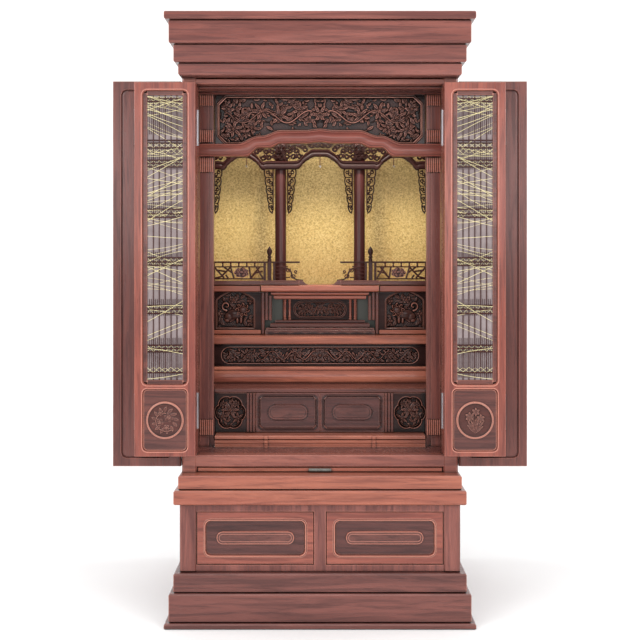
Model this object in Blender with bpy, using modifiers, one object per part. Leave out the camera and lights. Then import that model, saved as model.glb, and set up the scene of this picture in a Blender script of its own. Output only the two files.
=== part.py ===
"""Household altar cabinet with its doors folded open.

The frame has its origin on the floor under the middle of the cabinet's box,
+X to the right, +Y to the back and +Z up. All lengths are in metres.
"""
import math

import bmesh
import bpy
from mathutils import Matrix, Vector, geometry

for thing in list(bpy.data.objects):
    bpy.data.objects.remove(thing, do_unlink=True)

# Outer sizes
depth = 0.540                 # front of the plinth's foot to the back
body_half = 0.303             # half the cabinet's width over its posts
gap = 0.0003                  # kept between pieces that touch
tier_step = 0.009             # each tier of plinth and crown steps out by this
tier_lip = 0.003              # the smallest tier stands this far proud of the body
tier_round = 0.0025           # eased edges of the tiers
back_step = 0.02              # how far a tier's back steps in, per metre its front does

# Heights, from the floor up
foot_height = 0.012
plinth_lower_height = 0.061
plinth_upper_height = 0.041
stand_height = 0.147
cornice_lower_height = 0.031
cornice_upper_height = 0.0306
shelf_bay_height = 0.0115
sill_height = 0.0262
opening_height = 0.8142
header_height = 0.0125
crown_heights = (0.027, 0.039, 0.050, 0.017)

# The stand and its drawers
stand_wall = 0.020
stand_post_width = 0.0355
stand_post_proud = 0.003
stand_stile_width = 0.025
stand_rail_top = 0.0165
stand_rail_bottom = 0.0155
stand_back_space = 0.040
drawer_clearance = 0.0015
drawer_front_thickness = 0.018
drawer_wall = 0.009
drawer_floor = 0.006
drawer_side_drop = 0.018      # the drawer's sides end this far below its bay

# The cabinet's shell
ledge_depth = 0.038           # ledge in front of the posts, where the doors close
frame_depth = 0.033
post_width = 0.033
post_chamfer = 0.004
side_wall = 0.016
back_wall = 0.012
well_wall = 0.034             # timber left round the hollow of crown and cornice
cap_thickness = 0.012

# The doors
door_thickness = 0.020
lattice_thickness = 0.018
leaf_gap = 0.001              # between two folded leaves
hinge_offset = 0.00075        # from a leaf's edge to its pin
hinge_radius = 0.003
hinge_length = 0.078
hinge_chamfer = 0.0036        # leaf corner taken off for the knuckle
door_pin_out = 0.001          # door pin outside the post's side
lattice_pin_in = 0.002        # lattice pin inside the post's edge
door_bottom_clearance = 0.0127
door_top_clearance = 0.006
lattice_bottom_clearance = 0.004
lattice_top_clearance = 0.0025
meeting_gap = 0.00175         # half the slit between the two middle leaves
lattice_margin = 0.0185       # leaf edge to its opening
lattice_panel_height = 0.136
lattice_rail = 0.0095         # rail between the opening and the lower panel
grille_depth = 0.0035         # the grille's face lies this far behind the frame's
panel_sunk = 0.0042           # the lower panel's field lies this far behind the frame's face

# Depths inside, measured back from the posts' front
beam_setback = 0.095
beam_thickness = 0.0160
column_setback = 0.113
column_depth = 0.0205
column_inset = 0.0415          # from the cabinet's inner side to the column
column_width = 0.0322
step_setback = 0.090
lower_row_setback = 0.1355
riser_setback = 0.240
frieze_setback = 0.247
altar_setback = 0.290
wing_setback = 0.302
screen_setback = 0.322
screen_thickness = 0.010
gold_back_space = 0.017       # from the gold panels' front to the back wall

# Heights inside, each measured from the piece below
step_height = 0.0275
lower_row_height = 0.0930
lower_top_thickness = 0.009
riser_height = 0.0405
frieze_height = 0.0545
shelf_thickness = 0.019
altar_base_height = 0.035
altar_waist_height = 0.0525
altar_top_height = 0.0355
rail_board_height = 0.0115
rail_height = 0.0450

# Planes worked out from the sizes above
front = -depth / 2
back = depth / 2
stand_front = front + 3 * tier_step
stand_half = body_half + tier_lip
post_front = stand_front + ledge_depth
post_back = post_front + frame_depth
inner_half = body_half - side_wall
column_inner = inner_half - column_inset
opening_half = body_half - post_width
plinth_top = foot_height + plinth_lower_height + plinth_upper_height
stand_top = plinth_top + stand_height
cornice_top = stand_top + cornice_lower_height + cornice_upper_height
bay_top = cornice_top + shelf_bay_height
floor_top = bay_top + sill_height
head_bottom = floor_top + opening_height
body_top = head_bottom + header_height
step_top = floor_top + step_height
lower_row_top = step_top + lower_row_height
lower_top_top = lower_row_top + lower_top_thickness
riser_top = lower_top_top + riser_height
frieze_top = riser_top + frieze_height
shelf_top = frieze_top + shelf_thickness
altar_base_top = shelf_top + altar_base_height
altar_waist_top = altar_base_top + altar_waist_height
altar_top_top = altar_waist_top + altar_top_height
inside_back = back - back_wall
gold_front = inside_back - gold_back_space

cabinet = bpy.data.collections.new("household_altar_cabinet")
bpy.context.scene.collection.children.link(cabinet)


def finish(name, colour, roughness, metallic=0.0):
    """A plain Principled material."""
    material = bpy.data.materials.new(name)
    material.use_nodes = True
    shader = material.node_tree.nodes["Principled BSDF"]
    shader.inputs["Base Color"].default_value = (*colour, 1.0)
    shader.inputs["Roughness"].default_value = roughness
    shader.inputs["Metallic"].default_value = metallic
    return material


rosewood = finish("rosewood", (0.22, 0.085, 0.06), 0.35)
dark_wood = finish("dark_rosewood", (0.085, 0.035, 0.028), 0.4)
carved_wood = finish("carved_wood", (0.06, 0.03, 0.024), 0.5)
gold_leaf = finish("gold_leaf", (0.62, 0.43, 0.16), 0.35, 0.8)
gauze = finish("gauze", (0.45, 0.43, 0.42), 0.8)
steel = finish("hinge_steel", (0.72, 0.72, 0.74), 0.3, 1.0)


def piece(name, mesh, material):
    """Put a mesh in the scene as a named part."""
    mesh.materials.clear()
    mesh.materials.append(material)
    made = bpy.data.objects.new(name, mesh)
    cabinet.objects.link(made)
    return made


def mesh_of(shape, name):
    """Turn a bmesh into a mesh whose faces point out."""
    bmesh.ops.recalc_face_normals(shape, faces=shape.faces)
    if shape.calc_volume(signed=True) < 0.0:
        bmesh.ops.reverse_faces(shape, faces=shape.faces)
    mesh = bpy.data.meshes.new(name)
    shape.to_mesh(mesh)
    shape.free()
    return mesh


def freeze(thing):
    """Replace an object's mesh by its evaluated one, modifiers and curve fills included."""
    bpy.context.view_layer.update()
    seen = thing.evaluated_get(bpy.context.evaluated_depsgraph_get())
    mesh = bpy.data.meshes.new_from_object(seen)
    shape = bmesh.new()
    shape.from_mesh(mesh)
    shape.transform(thing.matrix_world)
    bmesh.ops.remove_doubles(shape, verts=shape.verts, dist=1e-6)
    name = thing.name
    material = thing.active_material
    bpy.data.objects.remove(thing, do_unlink=True)
    return piece(name, mesh_of(shape, name), material)


def combine(body, others, operation):
    """Cut the others from the body, or join them to it, with exact Booleans."""
    for other in others:
        step = body.modifiers.new(operation.lower(), "BOOLEAN")
        step.operation = operation
        step.solver = "EXACT"
        step.object = other
    made = freeze(body)
    for other in others:
        bpy.data.objects.remove(other, do_unlink=True)
    return made


def block(name, x, y, z, material, ease=0.0, segments=1):
    """A board between pairs of x, y and z, with its edges eased."""
    shape = bmesh.new()
    bmesh.ops.create_cube(shape, size=1.0)
    size = (x[1] - x[0], y[1] - y[0], z[1] - z[0])
    middle = ((x[0] + x[1]) / 2, (y[0] + y[1]) / 2, (z[0] + z[1]) / 2)
    shape.transform(Matrix.Translation(middle) @ Matrix.Diagonal((*size, 1.0)))
    if ease > 0.0:
        bmesh.ops.bevel(shape, geom=shape.edges[:], offset=ease, segments=segments, affect="EDGES",
                        profile=0.5)
    return piece(name, mesh_of(shape, name), material)


def loft(name, loops, material, closed=False):
    """Join loops of equal length into one skin, capped at both ends or closed on itself."""
    shape = bmesh.new()
    rings = [[shape.verts.new(point) for point in loop] for loop in loops]
    pairs = list(zip(rings, rings[1:]))
    if closed:
        pairs.append((rings[-1], rings[0]))
    for first, second in pairs:
        for i in range(len(first)):
            j = (i + 1) % len(first)
            shape.faces.new((first[i], first[j], second[j], second[i]))
    if not closed:
        shape.faces.new(rings[0])
        shape.faces.new(rings[-1])
    return piece(name, mesh_of(shape, name), material)


def round_rect(u0, u1, v0, v1, radius, steps=1):
    """Points round a rectangle whose corners are arcs."""
    points = []
    corners = ((u1, v1, 0), (u0, v1, 1), (u0, v0, 2), (u1, v0, 3))
    for u, v, quarter in corners:
        cu = u - radius if u == u1 else u + radius
        cv = v - radius if v == v1 else v + radius
        for k in range(steps + 1):
            angle = (quarter + k / steps) * math.pi / 2
            points.append((cu + radius * math.cos(angle), cv + radius * math.sin(angle)))
    return points


def rect(u0, u1, v0, v1):
    """The four corners of a rectangle."""
    return [(u1, v1), (u0, v1), (u0, v0), (u1, v0)]


def level(points, z):
    """Plan points at one height."""
    return [(u, v, z) for u, v in points]


def upright(points, y):
    """Front-view points at one depth."""
    return [(u, y, v) for u, v in points]


def plate(name, outlines, y0, y1, material):
    """A flat board cut to a front-view outline, with any further outlines as holes."""
    shape = bmesh.new()
    near, far = [], []
    for outline in outlines:
        near_loop = [shape.verts.new((u, y0, v)) for u, v in outline]
        far_loop = [shape.verts.new((u, y1, v)) for u, v in outline]
        for i in range(len(outline)):
            j = (i + 1) % len(outline)
            shape.faces.new((near_loop[i], near_loop[j], far_loop[j], far_loop[i]))
        near += near_loop
        far += far_loop
    loops = [[Vector((u, v, 0.0)) for u, v in outline] for outline in outlines]
    for a, b, c in geometry.tessellate_polygon(loops):
        shape.faces.new((near[a], near[b], near[c]))
        shape.faces.new((far[a], far[b], far[c]))
    return piece(name, mesh_of(shape, name), material)


def turned(name, profile, x, y, material, sides):
    """A turned piece: (radius, height) pairs from the top down, spun by a Screw modifier."""
    mesh = bpy.data.meshes.new(name)
    mesh.from_pydata([(r, 0.0, z) for r, z in profile], [(i, i + 1) for i in range(len(profile) - 1)], [])
    made = piece(name, mesh, material)
    made.matrix_world = Matrix.Translation((x, y, 0.0))
    spin = made.modifiers.new("spin", "SCREW")
    spin.steps = sides
    spin.render_steps = sides
    spin.use_merge_vertices = True
    spin.merge_threshold = 0.00001
    return freeze(made)


def mirrored(source, name):
    """The same piece on the other side of the cabinet."""
    shape = bmesh.new()
    shape.from_mesh(source.data)
    shape.transform(Matrix.Diagonal((-1.0, 1.0, 1.0, 1.0)))
    return piece(name, mesh_of(shape, name), source.active_material)


def spaced(low, high, count):
    """Evenly spaced values, both ends included."""
    return [low + (high - low) * i / (count - 1) for i in range(count)]


# Plinth, cornice and crown: tiers of mitred boards


def tier_rect(outset, z, ease=0.0):
    """Plan outline of a tier; its back steps in only a hair with each tier."""
    half = stand_half + outset - ease
    rear = back - (3 * tier_step - outset) * back_step
    return level(rect(-half, half, stand_front - outset + ease, rear), z)


def tier_loops(tiers, z):
    """Loops up the outside of a stack of (outset, height) tiers with eased edges."""
    loops = []
    for outset, tall in tiers:
        loops.append(tier_rect(outset, z, tier_round))
        loops.append(tier_rect(outset, z + tier_round))
        loops.append(tier_rect(outset, z + tall - tier_round))
        loops.append(tier_rect(outset, z + tall, tier_round))
        z += tall
    return loops


def well_rect(z):
    """Plan outline of the hollow inside the tiers."""
    half = stand_half - well_wall
    return level(rect(-half, half, stand_front + well_wall, back - well_wall), z)


def make_plinth():
    tiers = ((3 * tier_step, foot_height), (2 * tier_step, plinth_lower_height),
             (tier_step, plinth_upper_height))
    outside = tier_loops(tiers, 0.0)
    loft("plinth", [well_rect(0.0)] + outside + [well_rect(plinth_top)], rosewood, closed=True)


def make_cornice():
    z = stand_top + gap
    tiers = ((tier_step, cornice_lower_height - gap), (0.0, cornice_upper_height))
    hollow = [well_rect(cornice_top - cap_thickness), well_rect(z)]
    loft("stand_cornice", hollow + tier_loops(tiers, z), rosewood)


def make_crown():
    z = body_top + gap
    heights = (crown_heights[0] - gap,) + crown_heights[1:]
    tiers = [(i * tier_step, tall) for i, tall in enumerate(heights)]
    top = body_top + sum(crown_heights)
    hollow = [well_rect(top - crown_heights[-1] - cap_thickness), well_rect(z)]
    loft("crown", hollow + tier_loops(tiers, z), rosewood)


make_plinth()
make_cornice()
make_crown()

# The stand: a case with two bays, and a drawer in each

stand_rail_front = stand_front + tier_lip + stand_post_proud
bay_x = (stand_stile_width / 2, body_half - stand_post_width)
bay_z = (plinth_top + stand_rail_bottom, stand_top - stand_rail_top)


def make_stand_case():
    z = (plinth_top + gap, stand_top)
    case = block("stand_case", (-body_half, body_half), (stand_rail_front, back), z, rosewood, 0.001)
    posts = []
    for side in (-1, 1):
        x = sorted((side * (bay_x[1] + drawer_clearance / 2), side * body_half))
        posts.append(block("post", x, (stand_rail_front - stand_post_proud, stand_rail_front + 0.02), z,
                           rosewood, tier_round))
    case = combine(case, posts, "UNION")
    bays = []
    for side in (-1, 1):
        x = sorted((side * bay_x[0], side * bay_x[1]))
        bays.append(block("bay", x, (stand_rail_front - 0.05, back - stand_back_space), bay_z, rosewood))
    combine(case, bays, "DIFFERENCE")


def field_board(name, x, z, y0, y1, steps, material, corner=2):
    """A board lofted from back to front through (inset, depth behind its face, radius) steps."""
    ease = 0.0008
    loops = [upright(round_rect(x[0], x[1], z[0], z[1], ease, corner), y1),
             upright(round_rect(x[0], x[1], z[0], z[1], ease, corner), y0 + ease)]
    for inset, sunk, radius in steps:
        outline = round_rect(x[0] + inset, x[1] - inset, z[0] + inset, z[1] - inset, radius, corner)
        loops.append(upright(outline, y0 + sunk))
    return loft(name, loops, material)


def drawer_face(margin, frame_radius, moat, field_height):
    """Steps of a drawer front: frame, bead, sunk moat and a raised field with round ends."""
    end_radius = field_height / 2 - 0.001
    return ((0.0008, 0.0, 0.0008), (margin - 0.003, 0.0, frame_radius), (margin - 0.001, -0.001, frame_radius),
            (margin + 0.0006, 0.004, frame_radius), (margin + moat, 0.004, end_radius),
            (margin + moat + 0.0015, 0.0012, end_radius))


def tray_loops(x, y, z, wall, floor):
    """An open box: its inside from the floor up, then its outside down."""
    inner = rect(x[0] + wall, x[1] - wall, y[0] + wall, y[1] - wall)
    outer = rect(x[0], x[1], y[0], y[1])
    return [level(inner, z[0] + floor), level(inner, z[1]), level(outer, z[1]), level(outer, z[0])]


def make_drawer(name, x, z, y0, length, steps, corner=2):
    """A moulded front joined to an open box behind it."""
    board = field_board(name, x, z, y0, y0 + drawer_front_thickness, steps, rosewood, corner)
    box_x = (x[0] + 0.002, x[1] - 0.002)
    box_y = (y0 + drawer_front_thickness - 0.002, y0 + length)
    box_z = (z[0] + 0.001, z[1] - drawer_side_drop)
    tray = loft("tray", tray_loops(box_x, box_y, box_z, drawer_wall, drawer_floor), rosewood)
    return combine(board, [tray], "UNION")


def make_stand_drawers():
    x = (bay_x[0] + drawer_clearance, bay_x[1] - drawer_clearance)
    z = (bay_z[0] + drawer_clearance, bay_z[1] - drawer_clearance)
    margin, moat = 0.0185, 0.0225
    field_height = z[1] - z[0] - 2 * (margin + moat)
    steps = drawer_face(margin, 0.012, moat, field_height)
    length = back - stand_back_space - stand_rail_front - 0.02
    right = make_drawer("stand_drawer_right", x, z, stand_rail_front + 0.0005, length, steps)
    mirrored(right, "stand_drawer_left")


make_stand_case()
make_stand_drawers()

# The cabinet's shell, front frame and pull-out shelf


def make_case():
    x = (-body_half, body_half)
    y = (post_back + gap, back)
    shell = block("cabinet_case", x, y, (cornice_top + gap, body_top), rosewood, 0.001)
    room = block("room", (-inner_half, inner_half), (y[0] - 0.05, inside_back), (floor_top, head_bottom),
                 rosewood)
    shelf_bay = block("shelf_bay", (-opening_half, opening_half), (y[0] - 0.05, inside_back - 0.05),
                      (cornice_top - 0.01, bay_top), rosewood)
    combine(shell, [room, shelf_bay], "DIFFERENCE")


def make_front_frame():
    """Two posts with chamfered front corners, the sill and the head between them."""
    z = (cornice_top + gap, body_top)
    bars = []
    for side in (-1, 1):
        outer, inner = side * body_half, side * opening_half
        cut = side * post_chamfer
        plan = [(outer, post_back), (outer, post_front + post_chamfer), (outer - cut, post_front),
                (inner + cut, post_front), (inner, post_front + post_chamfer), (inner, post_back)]
        bars.append(loft("front_frame", [level(plan, z[0]), level(plan, z[1])], rosewood))
    tenon = opening_half + 0.01
    rail_y = (post_front + 0.001, post_back - 0.001)
    for low, high in ((bay_top + gap, floor_top), (head_bottom, body_top - 0.001)):
        bars.append(block("rail", (-tenon, tenon), rail_y, (low, high), rosewood, 0.0015))
    combine(bars[0], bars[1:], "UNION")


def make_shelf():
    x = opening_half - drawer_clearance
    y = (post_front + 0.002, inside_back - 0.06)
    z = (cornice_top + 2 * gap, bay_top - drawer_clearance)
    block("pull_out_shelf", (-x, x), y, z, rosewood, 0.0015)
    lip = ((0.0, 0.0), (0.0, 0.0065), (-0.0035, 0.0065), (-0.0045, 0.005), (-0.0045, 0.0015), (-0.0035, 0.0))
    low = z[0] + 0.0015
    face = y[0] - gap
    half = 0.0245
    ends = [[(u, face + dy, low + dz) for dy, dz in lip] for u in (-half, half)]
    loft("shelf_pull", ends, steel)


make_case()
make_front_frame()
make_shelf()

# The doors. Each leaf is first drawn on the right, folded open


def leaf_loops(x, z, y, pins, steps, corner=1):
    """Loops through a leaf's thickness; pins says which faces lose a corner, as (side, face)."""
    loops = []
    for face in (1, 0):
        sides = [0.0, 0.0]
        for side, at in pins:
            if at == face:
                sides[side] = hinge_chamfer
        inward = -1 if face == 1 else 1
        rim = round_rect(x[0], x[1], z[0], z[1], 0.0008, corner)
        narrow = round_rect(x[0] + max(sides[0], 0.0008), x[1] - max(sides[1], 0.0008), z[0] + 0.0008,
                            z[1] - 0.0008, 0.0008, corner)
        edge_depth = max(max(sides), 0.0008)
        band = [upright(rim, y[face] + inward * edge_depth), upright(narrow, y[face])]
        for inset, sunk, radius in steps[face]:
            outline = round_rect(x[0] + inset, x[1] - inset, z[0] + inset, z[1] - inset, radius, corner)
            band.append(upright(outline, y[face] + inward * sunk))
        loops += band[::-1] if face == 1 else band
    return loops


door_width = (body_half + door_pin_out - 3 * hinge_offset - meeting_gap) / 2
door_z = (cornice_top + door_bottom_clearance, body_top - door_top_clearance)
door_pin_x = body_half + door_pin_out
door_x = (door_pin_x + hinge_offset, door_pin_x + hinge_offset + door_width)
door_fold_x = door_x[1] + hinge_offset
door_y = (post_front + leaf_gap / 2, post_front + leaf_gap / 2 + door_thickness)
door_fold_y = door_y[1] + leaf_gap / 2
door_groove = ((0.0185, 0.0, 0.011), (0.0200, 0.0042, 0.011), (0.0235, 0.0034, 0.009))
door_field = ((0.0185, 0.0, 0.011), (0.0200, 0.003, 0.011), (0.032, 0.0005, 0.006))


def make_doors():
    hung = leaf_loops(door_x, door_z, door_y, ((0, 0), (1, 1)), (door_groove, door_field), 2)
    right = loft("door_right_hung", hung, rosewood)
    fold_y = (door_fold_y + leaf_gap / 2, door_fold_y + leaf_gap / 2 + door_thickness)
    fold = leaf_loops(door_x, door_z, fold_y, ((1, 0),), (door_field, door_groove), 2)
    far = loft("door_right_fold", fold, rosewood)
    mirrored(right, "door_left_hung")
    mirrored(far, "door_left_fold")


lattice_pin_x = opening_half - lattice_pin_in
lattice_width = (lattice_pin_x - 3 * hinge_offset - meeting_gap) / 2
lattice_z = (floor_top + lattice_bottom_clearance, head_bottom - lattice_top_clearance)
lattice_x = (lattice_pin_x + hinge_offset, lattice_pin_x + hinge_offset + lattice_width)
lattice_fold_x = lattice_x[1] + hinge_offset
lattice_y = (post_front - leaf_gap / 2 - lattice_thickness, post_front - leaf_gap / 2)
lattice_fold_y = lattice_y[0] - leaf_gap / 2
lattice_near_y = (lattice_fold_y - leaf_gap / 2 - lattice_thickness, lattice_fold_y - leaf_gap / 2)
lower_panel_z = (lattice_z[0] + 0.010, lattice_z[0] + 0.010 + lattice_panel_height)
window_z = (lower_panel_z[1] + lattice_rail, lattice_z[1] - lattice_margin)
window_x = (lattice_x[0] + lattice_margin, lattice_x[1] - lattice_margin)
medallion_radius = 0.039


def window_cutter(face, far, grow):
    """A through opening with round corners, flared at the front as a moulding."""
    flare = 0.003
    loops = []
    for y, out in ((face - 0.002 * grow, flare), (face + 0.002 * grow, 0.0), (far + 0.01 * grow, 0.0)):
        outline = round_rect(window_x[0] - out, window_x[1] + out, window_z[0] - out, window_z[1] + out,
                             0.009 + out, 2)
        loops.append(upright(outline, y))
    return loft("window", loops, rosewood)


def panel_cutter(face, grow):
    """The sunk field of the lower panel, with sloping sides."""
    x = (lattice_x[0] + lattice_margin - 0.002, lattice_x[1] - lattice_margin + 0.002)
    loops = []
    for sunk, inset in ((-0.002, 0.0), (0.001, 0.0), (panel_sunk, 0.002)):
        outline = round_rect(x[0] + inset, x[1] - inset, lower_panel_z[0] + inset, lower_panel_z[1] - inset, 0.009, 2)
        loops.append(upright(outline, face + sunk * grow))
    return loft("field", loops, rosewood)


def medallion(face, grow, petals):
    """A round boss, no higher than the frame, with a flower of the given number of petals."""
    x = (lattice_x[0] + lattice_x[1]) / 2
    z = (lower_panel_z[0] + lower_panel_z[1]) / 2
    sides = petals * 3
    rings = ((1.0, -0.003, 0.0), (1.0, 0.0034, 0.0), (0.88, 0.0004, 0.0), (0.62, 0.0004, 0.7), (0.20, 0.0014, 0.0))
    loops = []
    for share, lift, lobe in rings:
        loop = []
        for i in range(sides):
            angle = 2 * math.pi * i / sides
            wave = (1 + math.cos(petals * angle)) / 2
            radius = medallion_radius * share * (1 - 0.12 * lobe * (1 - wave))
            rise = lift + 0.002 * lobe * wave
            depth_in = panel_sunk - rise
            loop.append((x + radius * math.cos(angle), face + depth_in * grow, z + radius * math.sin(angle)))
        loops.append(loop)
    return loft("medallion", loops, carved_wood)


def bar_rows(low, high, count, width, slope):
    """Break lines across a row of bars: each bar's foot and top edges."""
    lines = [low]
    pitch = (high - low) / (count + 1)
    for i in range(1, count + 1):
        middle = low + pitch * i
        lines += [middle - width / 2 - slope, middle - width / 2, middle + width / 2, middle + width / 2 + slope]
    return lines + [high]


def relief(name, us, vs, height, spot, y_back, material):
    """A slab whose front is a grid of heights and whose back is flat."""
    shape = bmesh.new()
    rows = []
    for j, v in enumerate(vs):
        row = []
        for i, u in enumerate(us):
            x, z = spot(u, v)
            row.append(shape.verts.new((x, height(u, v, i, j), z)))
        rows.append(row)
    for j in range(len(vs) - 1):
        for i in range(len(us) - 1):
            shape.faces.new((rows[j][i], rows[j][i + 1], rows[j + 1][i + 1], rows[j + 1][i]))
    rim = rows[0][:] + [row[-1] for row in rows[1:]] + rows[-1][-2::-1] + [row[0] for row in rows[-2:0:-1]]
    behind = [shape.verts.new((vert.co.x, y_back, vert.co.z)) for vert in rim]
    for i in range(len(rim)):
        j = (i + 1) % len(rim)
        shape.faces.new((rim[i], rim[j], behind[j], behind[i]))
    shape.faces.new(behind)
    return piece(name, mesh_of(shape, name), material)


def make_grille(name, face, grow):
    """Gauze with a row of upright bars before it, let into the leaf's opening."""
    x = (window_x[0] + gap, window_x[1] - gap)
    near = face + grille_depth * grow
    cloth = near + 0.0025 * grow
    rear = near + 0.006 * grow
    lines = bar_rows(x[0], x[1], 5, 0.0022, 0.0003)
    plan = [(u, near if i % 4 in (2, 3) and i < len(lines) - 1 else cloth) for i, u in enumerate(lines)]
    plan += [(x[1], rear), (x[0], rear)]
    corner = 0.0092
    loops = []
    for z, pull in ((window_z[0] + gap, corner), (window_z[0] + gap + corner, 0.0),
                    (window_z[1] - gap - corner, 0.0), (window_z[1] - gap, corner)):
        loops.append([(min(max(u, x[0] + pull), x[1] - pull), v, z) for u, v in plan])
    return loft(name, loops, gauze)


def make_lattice(name, y, pins, front_face, petals):
    """One lattice leaf with its opening, its lower panel and its medallion."""
    steps = ((), ())
    leaf = loft("lattice_" + name, leaf_loops(lattice_x, lattice_z, y, pins, steps), rosewood)
    face = y[front_face]
    grow = 1 if front_face == 0 else -1
    leaf = combine(leaf, [window_cutter(face, y[1 - front_face], grow), panel_cutter(face, grow)], "DIFFERENCE")
    leaf = combine(leaf, [medallion(face, grow, petals)], "UNION")
    return leaf, make_grille("grille_" + name, face, grow)


def make_lattices():
    hung, hung_grille = make_lattice("right_hung", lattice_y, ((0, 1), (1, 0)), 1, 6)
    near, near_grille = make_lattice("right_fold", lattice_near_y, ((1, 1),), 0, 5)
    mirrored(hung, "lattice_left_hung")
    mirrored(hung_grille, "grille_left_hung")
    mirrored(near, "lattice_left_fold")
    mirrored(near_grille, "grille_left_fold")


def knuckle(name, x, y, low, high):
    """A hinge barrel on its pin's axis."""
    profile = ((0.0, high), (hinge_radius, high), (hinge_radius, low), (0.0, low))
    return turned(name, profile, x, y, steel, 6)


def make_hinges():
    """One long hinge hangs each pair of doors; the other lines have two short ones."""
    right = [knuckle("hinge_door_right", door_pin_x, post_front, window_z[0] + 0.01, window_z[1] - 0.01)]
    lines = (("door_fold_right", door_fold_x, door_fold_y, door_z),
             ("lattice_right", lattice_pin_x, post_front, lattice_z),
             ("lattice_fold_right", lattice_fold_x, lattice_fold_y, lattice_z))
    for name, x, y, z in lines:
        low = z[0] + 0.055
        high = z[1] - 0.055
        right.append(knuckle("hinge_" + name + "_low", x, y, low, low + hinge_length))
        right.append(knuckle("hinge_" + name + "_high", x, y, high - hinge_length, high))
    for one in right:
        mirrored(one, one.name.replace("right", "left"))


make_doors()
make_lattices()
make_hinges()

# Carved panels: a board with a shaped opening over a slab of relief


def smooth(t):
    """0 below 0, 1 above 1, and an S between."""
    t = min(max(t, 0.0), 1.0)
    return t * t * (3 - 2 * t)


def scrollwork(s, t):
    """Rise of a running scroll with leaves, s along and t from -1 to 1 across."""
    stem = 0.55 * math.sin(2.2 * s)
    vine = math.exp(-((t - stem) / 0.22) ** 2)
    leaf = max(0.0, math.sin(4.4 * s + 2.6 * t)) * max(0.0, math.cos(1.9 * (t + stem)))
    return min(1.0, vine + 0.8 * leaf)


def foliage(s, t):
    """Rise of crowded leaves and blossoms."""
    veins = math.sin(5.1 * s + 1.7 * math.sin(2.3 * t)) * math.cos(3.7 * t - 0.9 * s)
    blossom = math.cos(2.6 * s) * math.cos(2.9 * t)
    return 0.5 + 0.3 * veins + 0.2 * blossom


def carved_panel(name, x, z, face, opening, cells, carving, sunk=0.004, thick=0.009, material=carved_wood):
    """A board whose opening shows a carved slab sunk behind its face."""
    board = plate(name, [round_rect(x[0], x[1], z[0], z[1], 0.0006, 1), opening], face, face + thick, material)
    margin = 0.002
    us = spaced(min(u for u, v in opening) - margin, max(u for u, v in opening) + margin, cells[0])
    vs = spaced(min(v for u, v in opening) - margin, max(v for u, v in opening) + margin, cells[1])
    half = (vs[-1] - vs[0]) / 2
    middle = (us[0] + us[-1]) / 2

    def height(u, v, i, j):
        edge = i in (0, len(us) - 1) or j in (0, len(vs) - 1)
        rise = 0.0 if edge else carving((u - middle) / half, (v - vs[0]) / half - 1)
        return face + sunk - (sunk - 0.0006) * rise

    slab = relief("slab", us, vs, height, lambda u, v: (u, v), face + thick - 0.0013, material)
    return combine(board, [slab], "UNION")


def along(name, profile, stations, material):
    """A moulding: (y, z) profile carried along x, with how far its front stands out at each station."""
    loops = []
    for x, out in stations:
        loops.append([(x, y - out if front_side else y, z) for y, z, front_side in profile])
    return loft(name, loops, material)


# Columns, lower row and frieze

column_front = post_front + column_setback
beam_bottom = floor_top + 0.6655
beam_flat = 0.0290


def make_columns():
    """A column with a flared foot and four fluted blocks, its inner strip plain."""
    strip = 0.009
    flutes = 3
    blocks = ((floor_top + 0.025, floor_top + 0.062), (beam_bottom - 0.037, beam_bottom + 0.002),
              (beam_bottom + 0.031, beam_bottom + 0.063), (head_bottom - 0.032, head_bottom - 2 * gap))
    stations = [(floor_top + gap, 0.004, 0.0), (floor_top + 0.005, 0.004, 0.0), (floor_top + 0.018, 0.0, 0.0)]
    for low, high in blocks:
        stations += [(low, 0.0, 0.0), (low + 0.001, 0.0012, 0.0022), (high - 0.001, 0.0012, 0.0022)]
        if high < head_bottom - 0.01:
            stations.append((high, 0.0, 0.0))
    stations.append((head_bottom - gap, 0.0, 0.0))
    inner, outer = column_inner, column_inner + column_width
    rear = column_front + column_depth
    loops = []
    for z, proud, flute in stations:
        plan = [(outer + proud, rear), (inner - proud, rear), (inner - proud, column_front + 0.002),
                (inner + strip, column_front + 0.002)]
        for k in range(2 * flutes + 1):
            x = inner + strip + 0.0005 + (column_width - strip - 0.001) * k / (2 * flutes)
            plan.append((x, column_front - proud + (flute if k % 2 else 0.0)))
        loops.append(level(plan, z))
    right = loft("column_right", loops, rosewood)
    mirrored(right, "column_left")


row_front = post_front + lower_row_setback
row_bottom = step_top + gap
row_top = lower_row_top
small_drawer_half = 0.1495
rib_width = 0.021


def make_step():
    """The step below the lower row: a two-ridged rail with a knot under each drawer's side."""
    y = post_front + step_setback
    z = floor_top + gap
    tall = step_height - gap
    rear = inside_back - 0.05
    ridges = ((0.0, 0.0), (0.0, 0.12), (0.0025, 0.18), (0.0025, 0.34), (0.0, 0.42), (0.0, 0.60),
              (0.0025, 0.66), (0.0, 0.74), (0.0, 0.92), (0.0015, 1.0))
    profile = [(y + dy, z + tall * share, True) for dy, share in ridges]
    profile += [(rear, z + tall, False), (rear, z, False)]
    half = column_inner - 0.0055
    knot, width = 0.123, 0.0035
    right = [(knot - width - 0.001, 0.0), (knot - width, 0.003), (knot + width, 0.003), (knot + width + 0.001, 0.0),
             (half, 0.0)]
    stations = [(-x, out) for x, out in right[::-1]] + right
    along("lower_step", profile, stations, rosewood)


def cloud(cx, cz, half_w, half_h, lobes):
    """A cloud-shaped outline whose edge bulges in lobes."""
    count = lobes * 4
    points = []
    for i in range(count):
        angle = 2 * math.pi * i / count
        bulge = 0.88 + 0.12 * abs(math.cos(lobes * angle / 2))
        points.append((cx + half_w * bulge * math.cos(angle), cz + half_h * bulge * math.sin(angle)))
    return points


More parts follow.
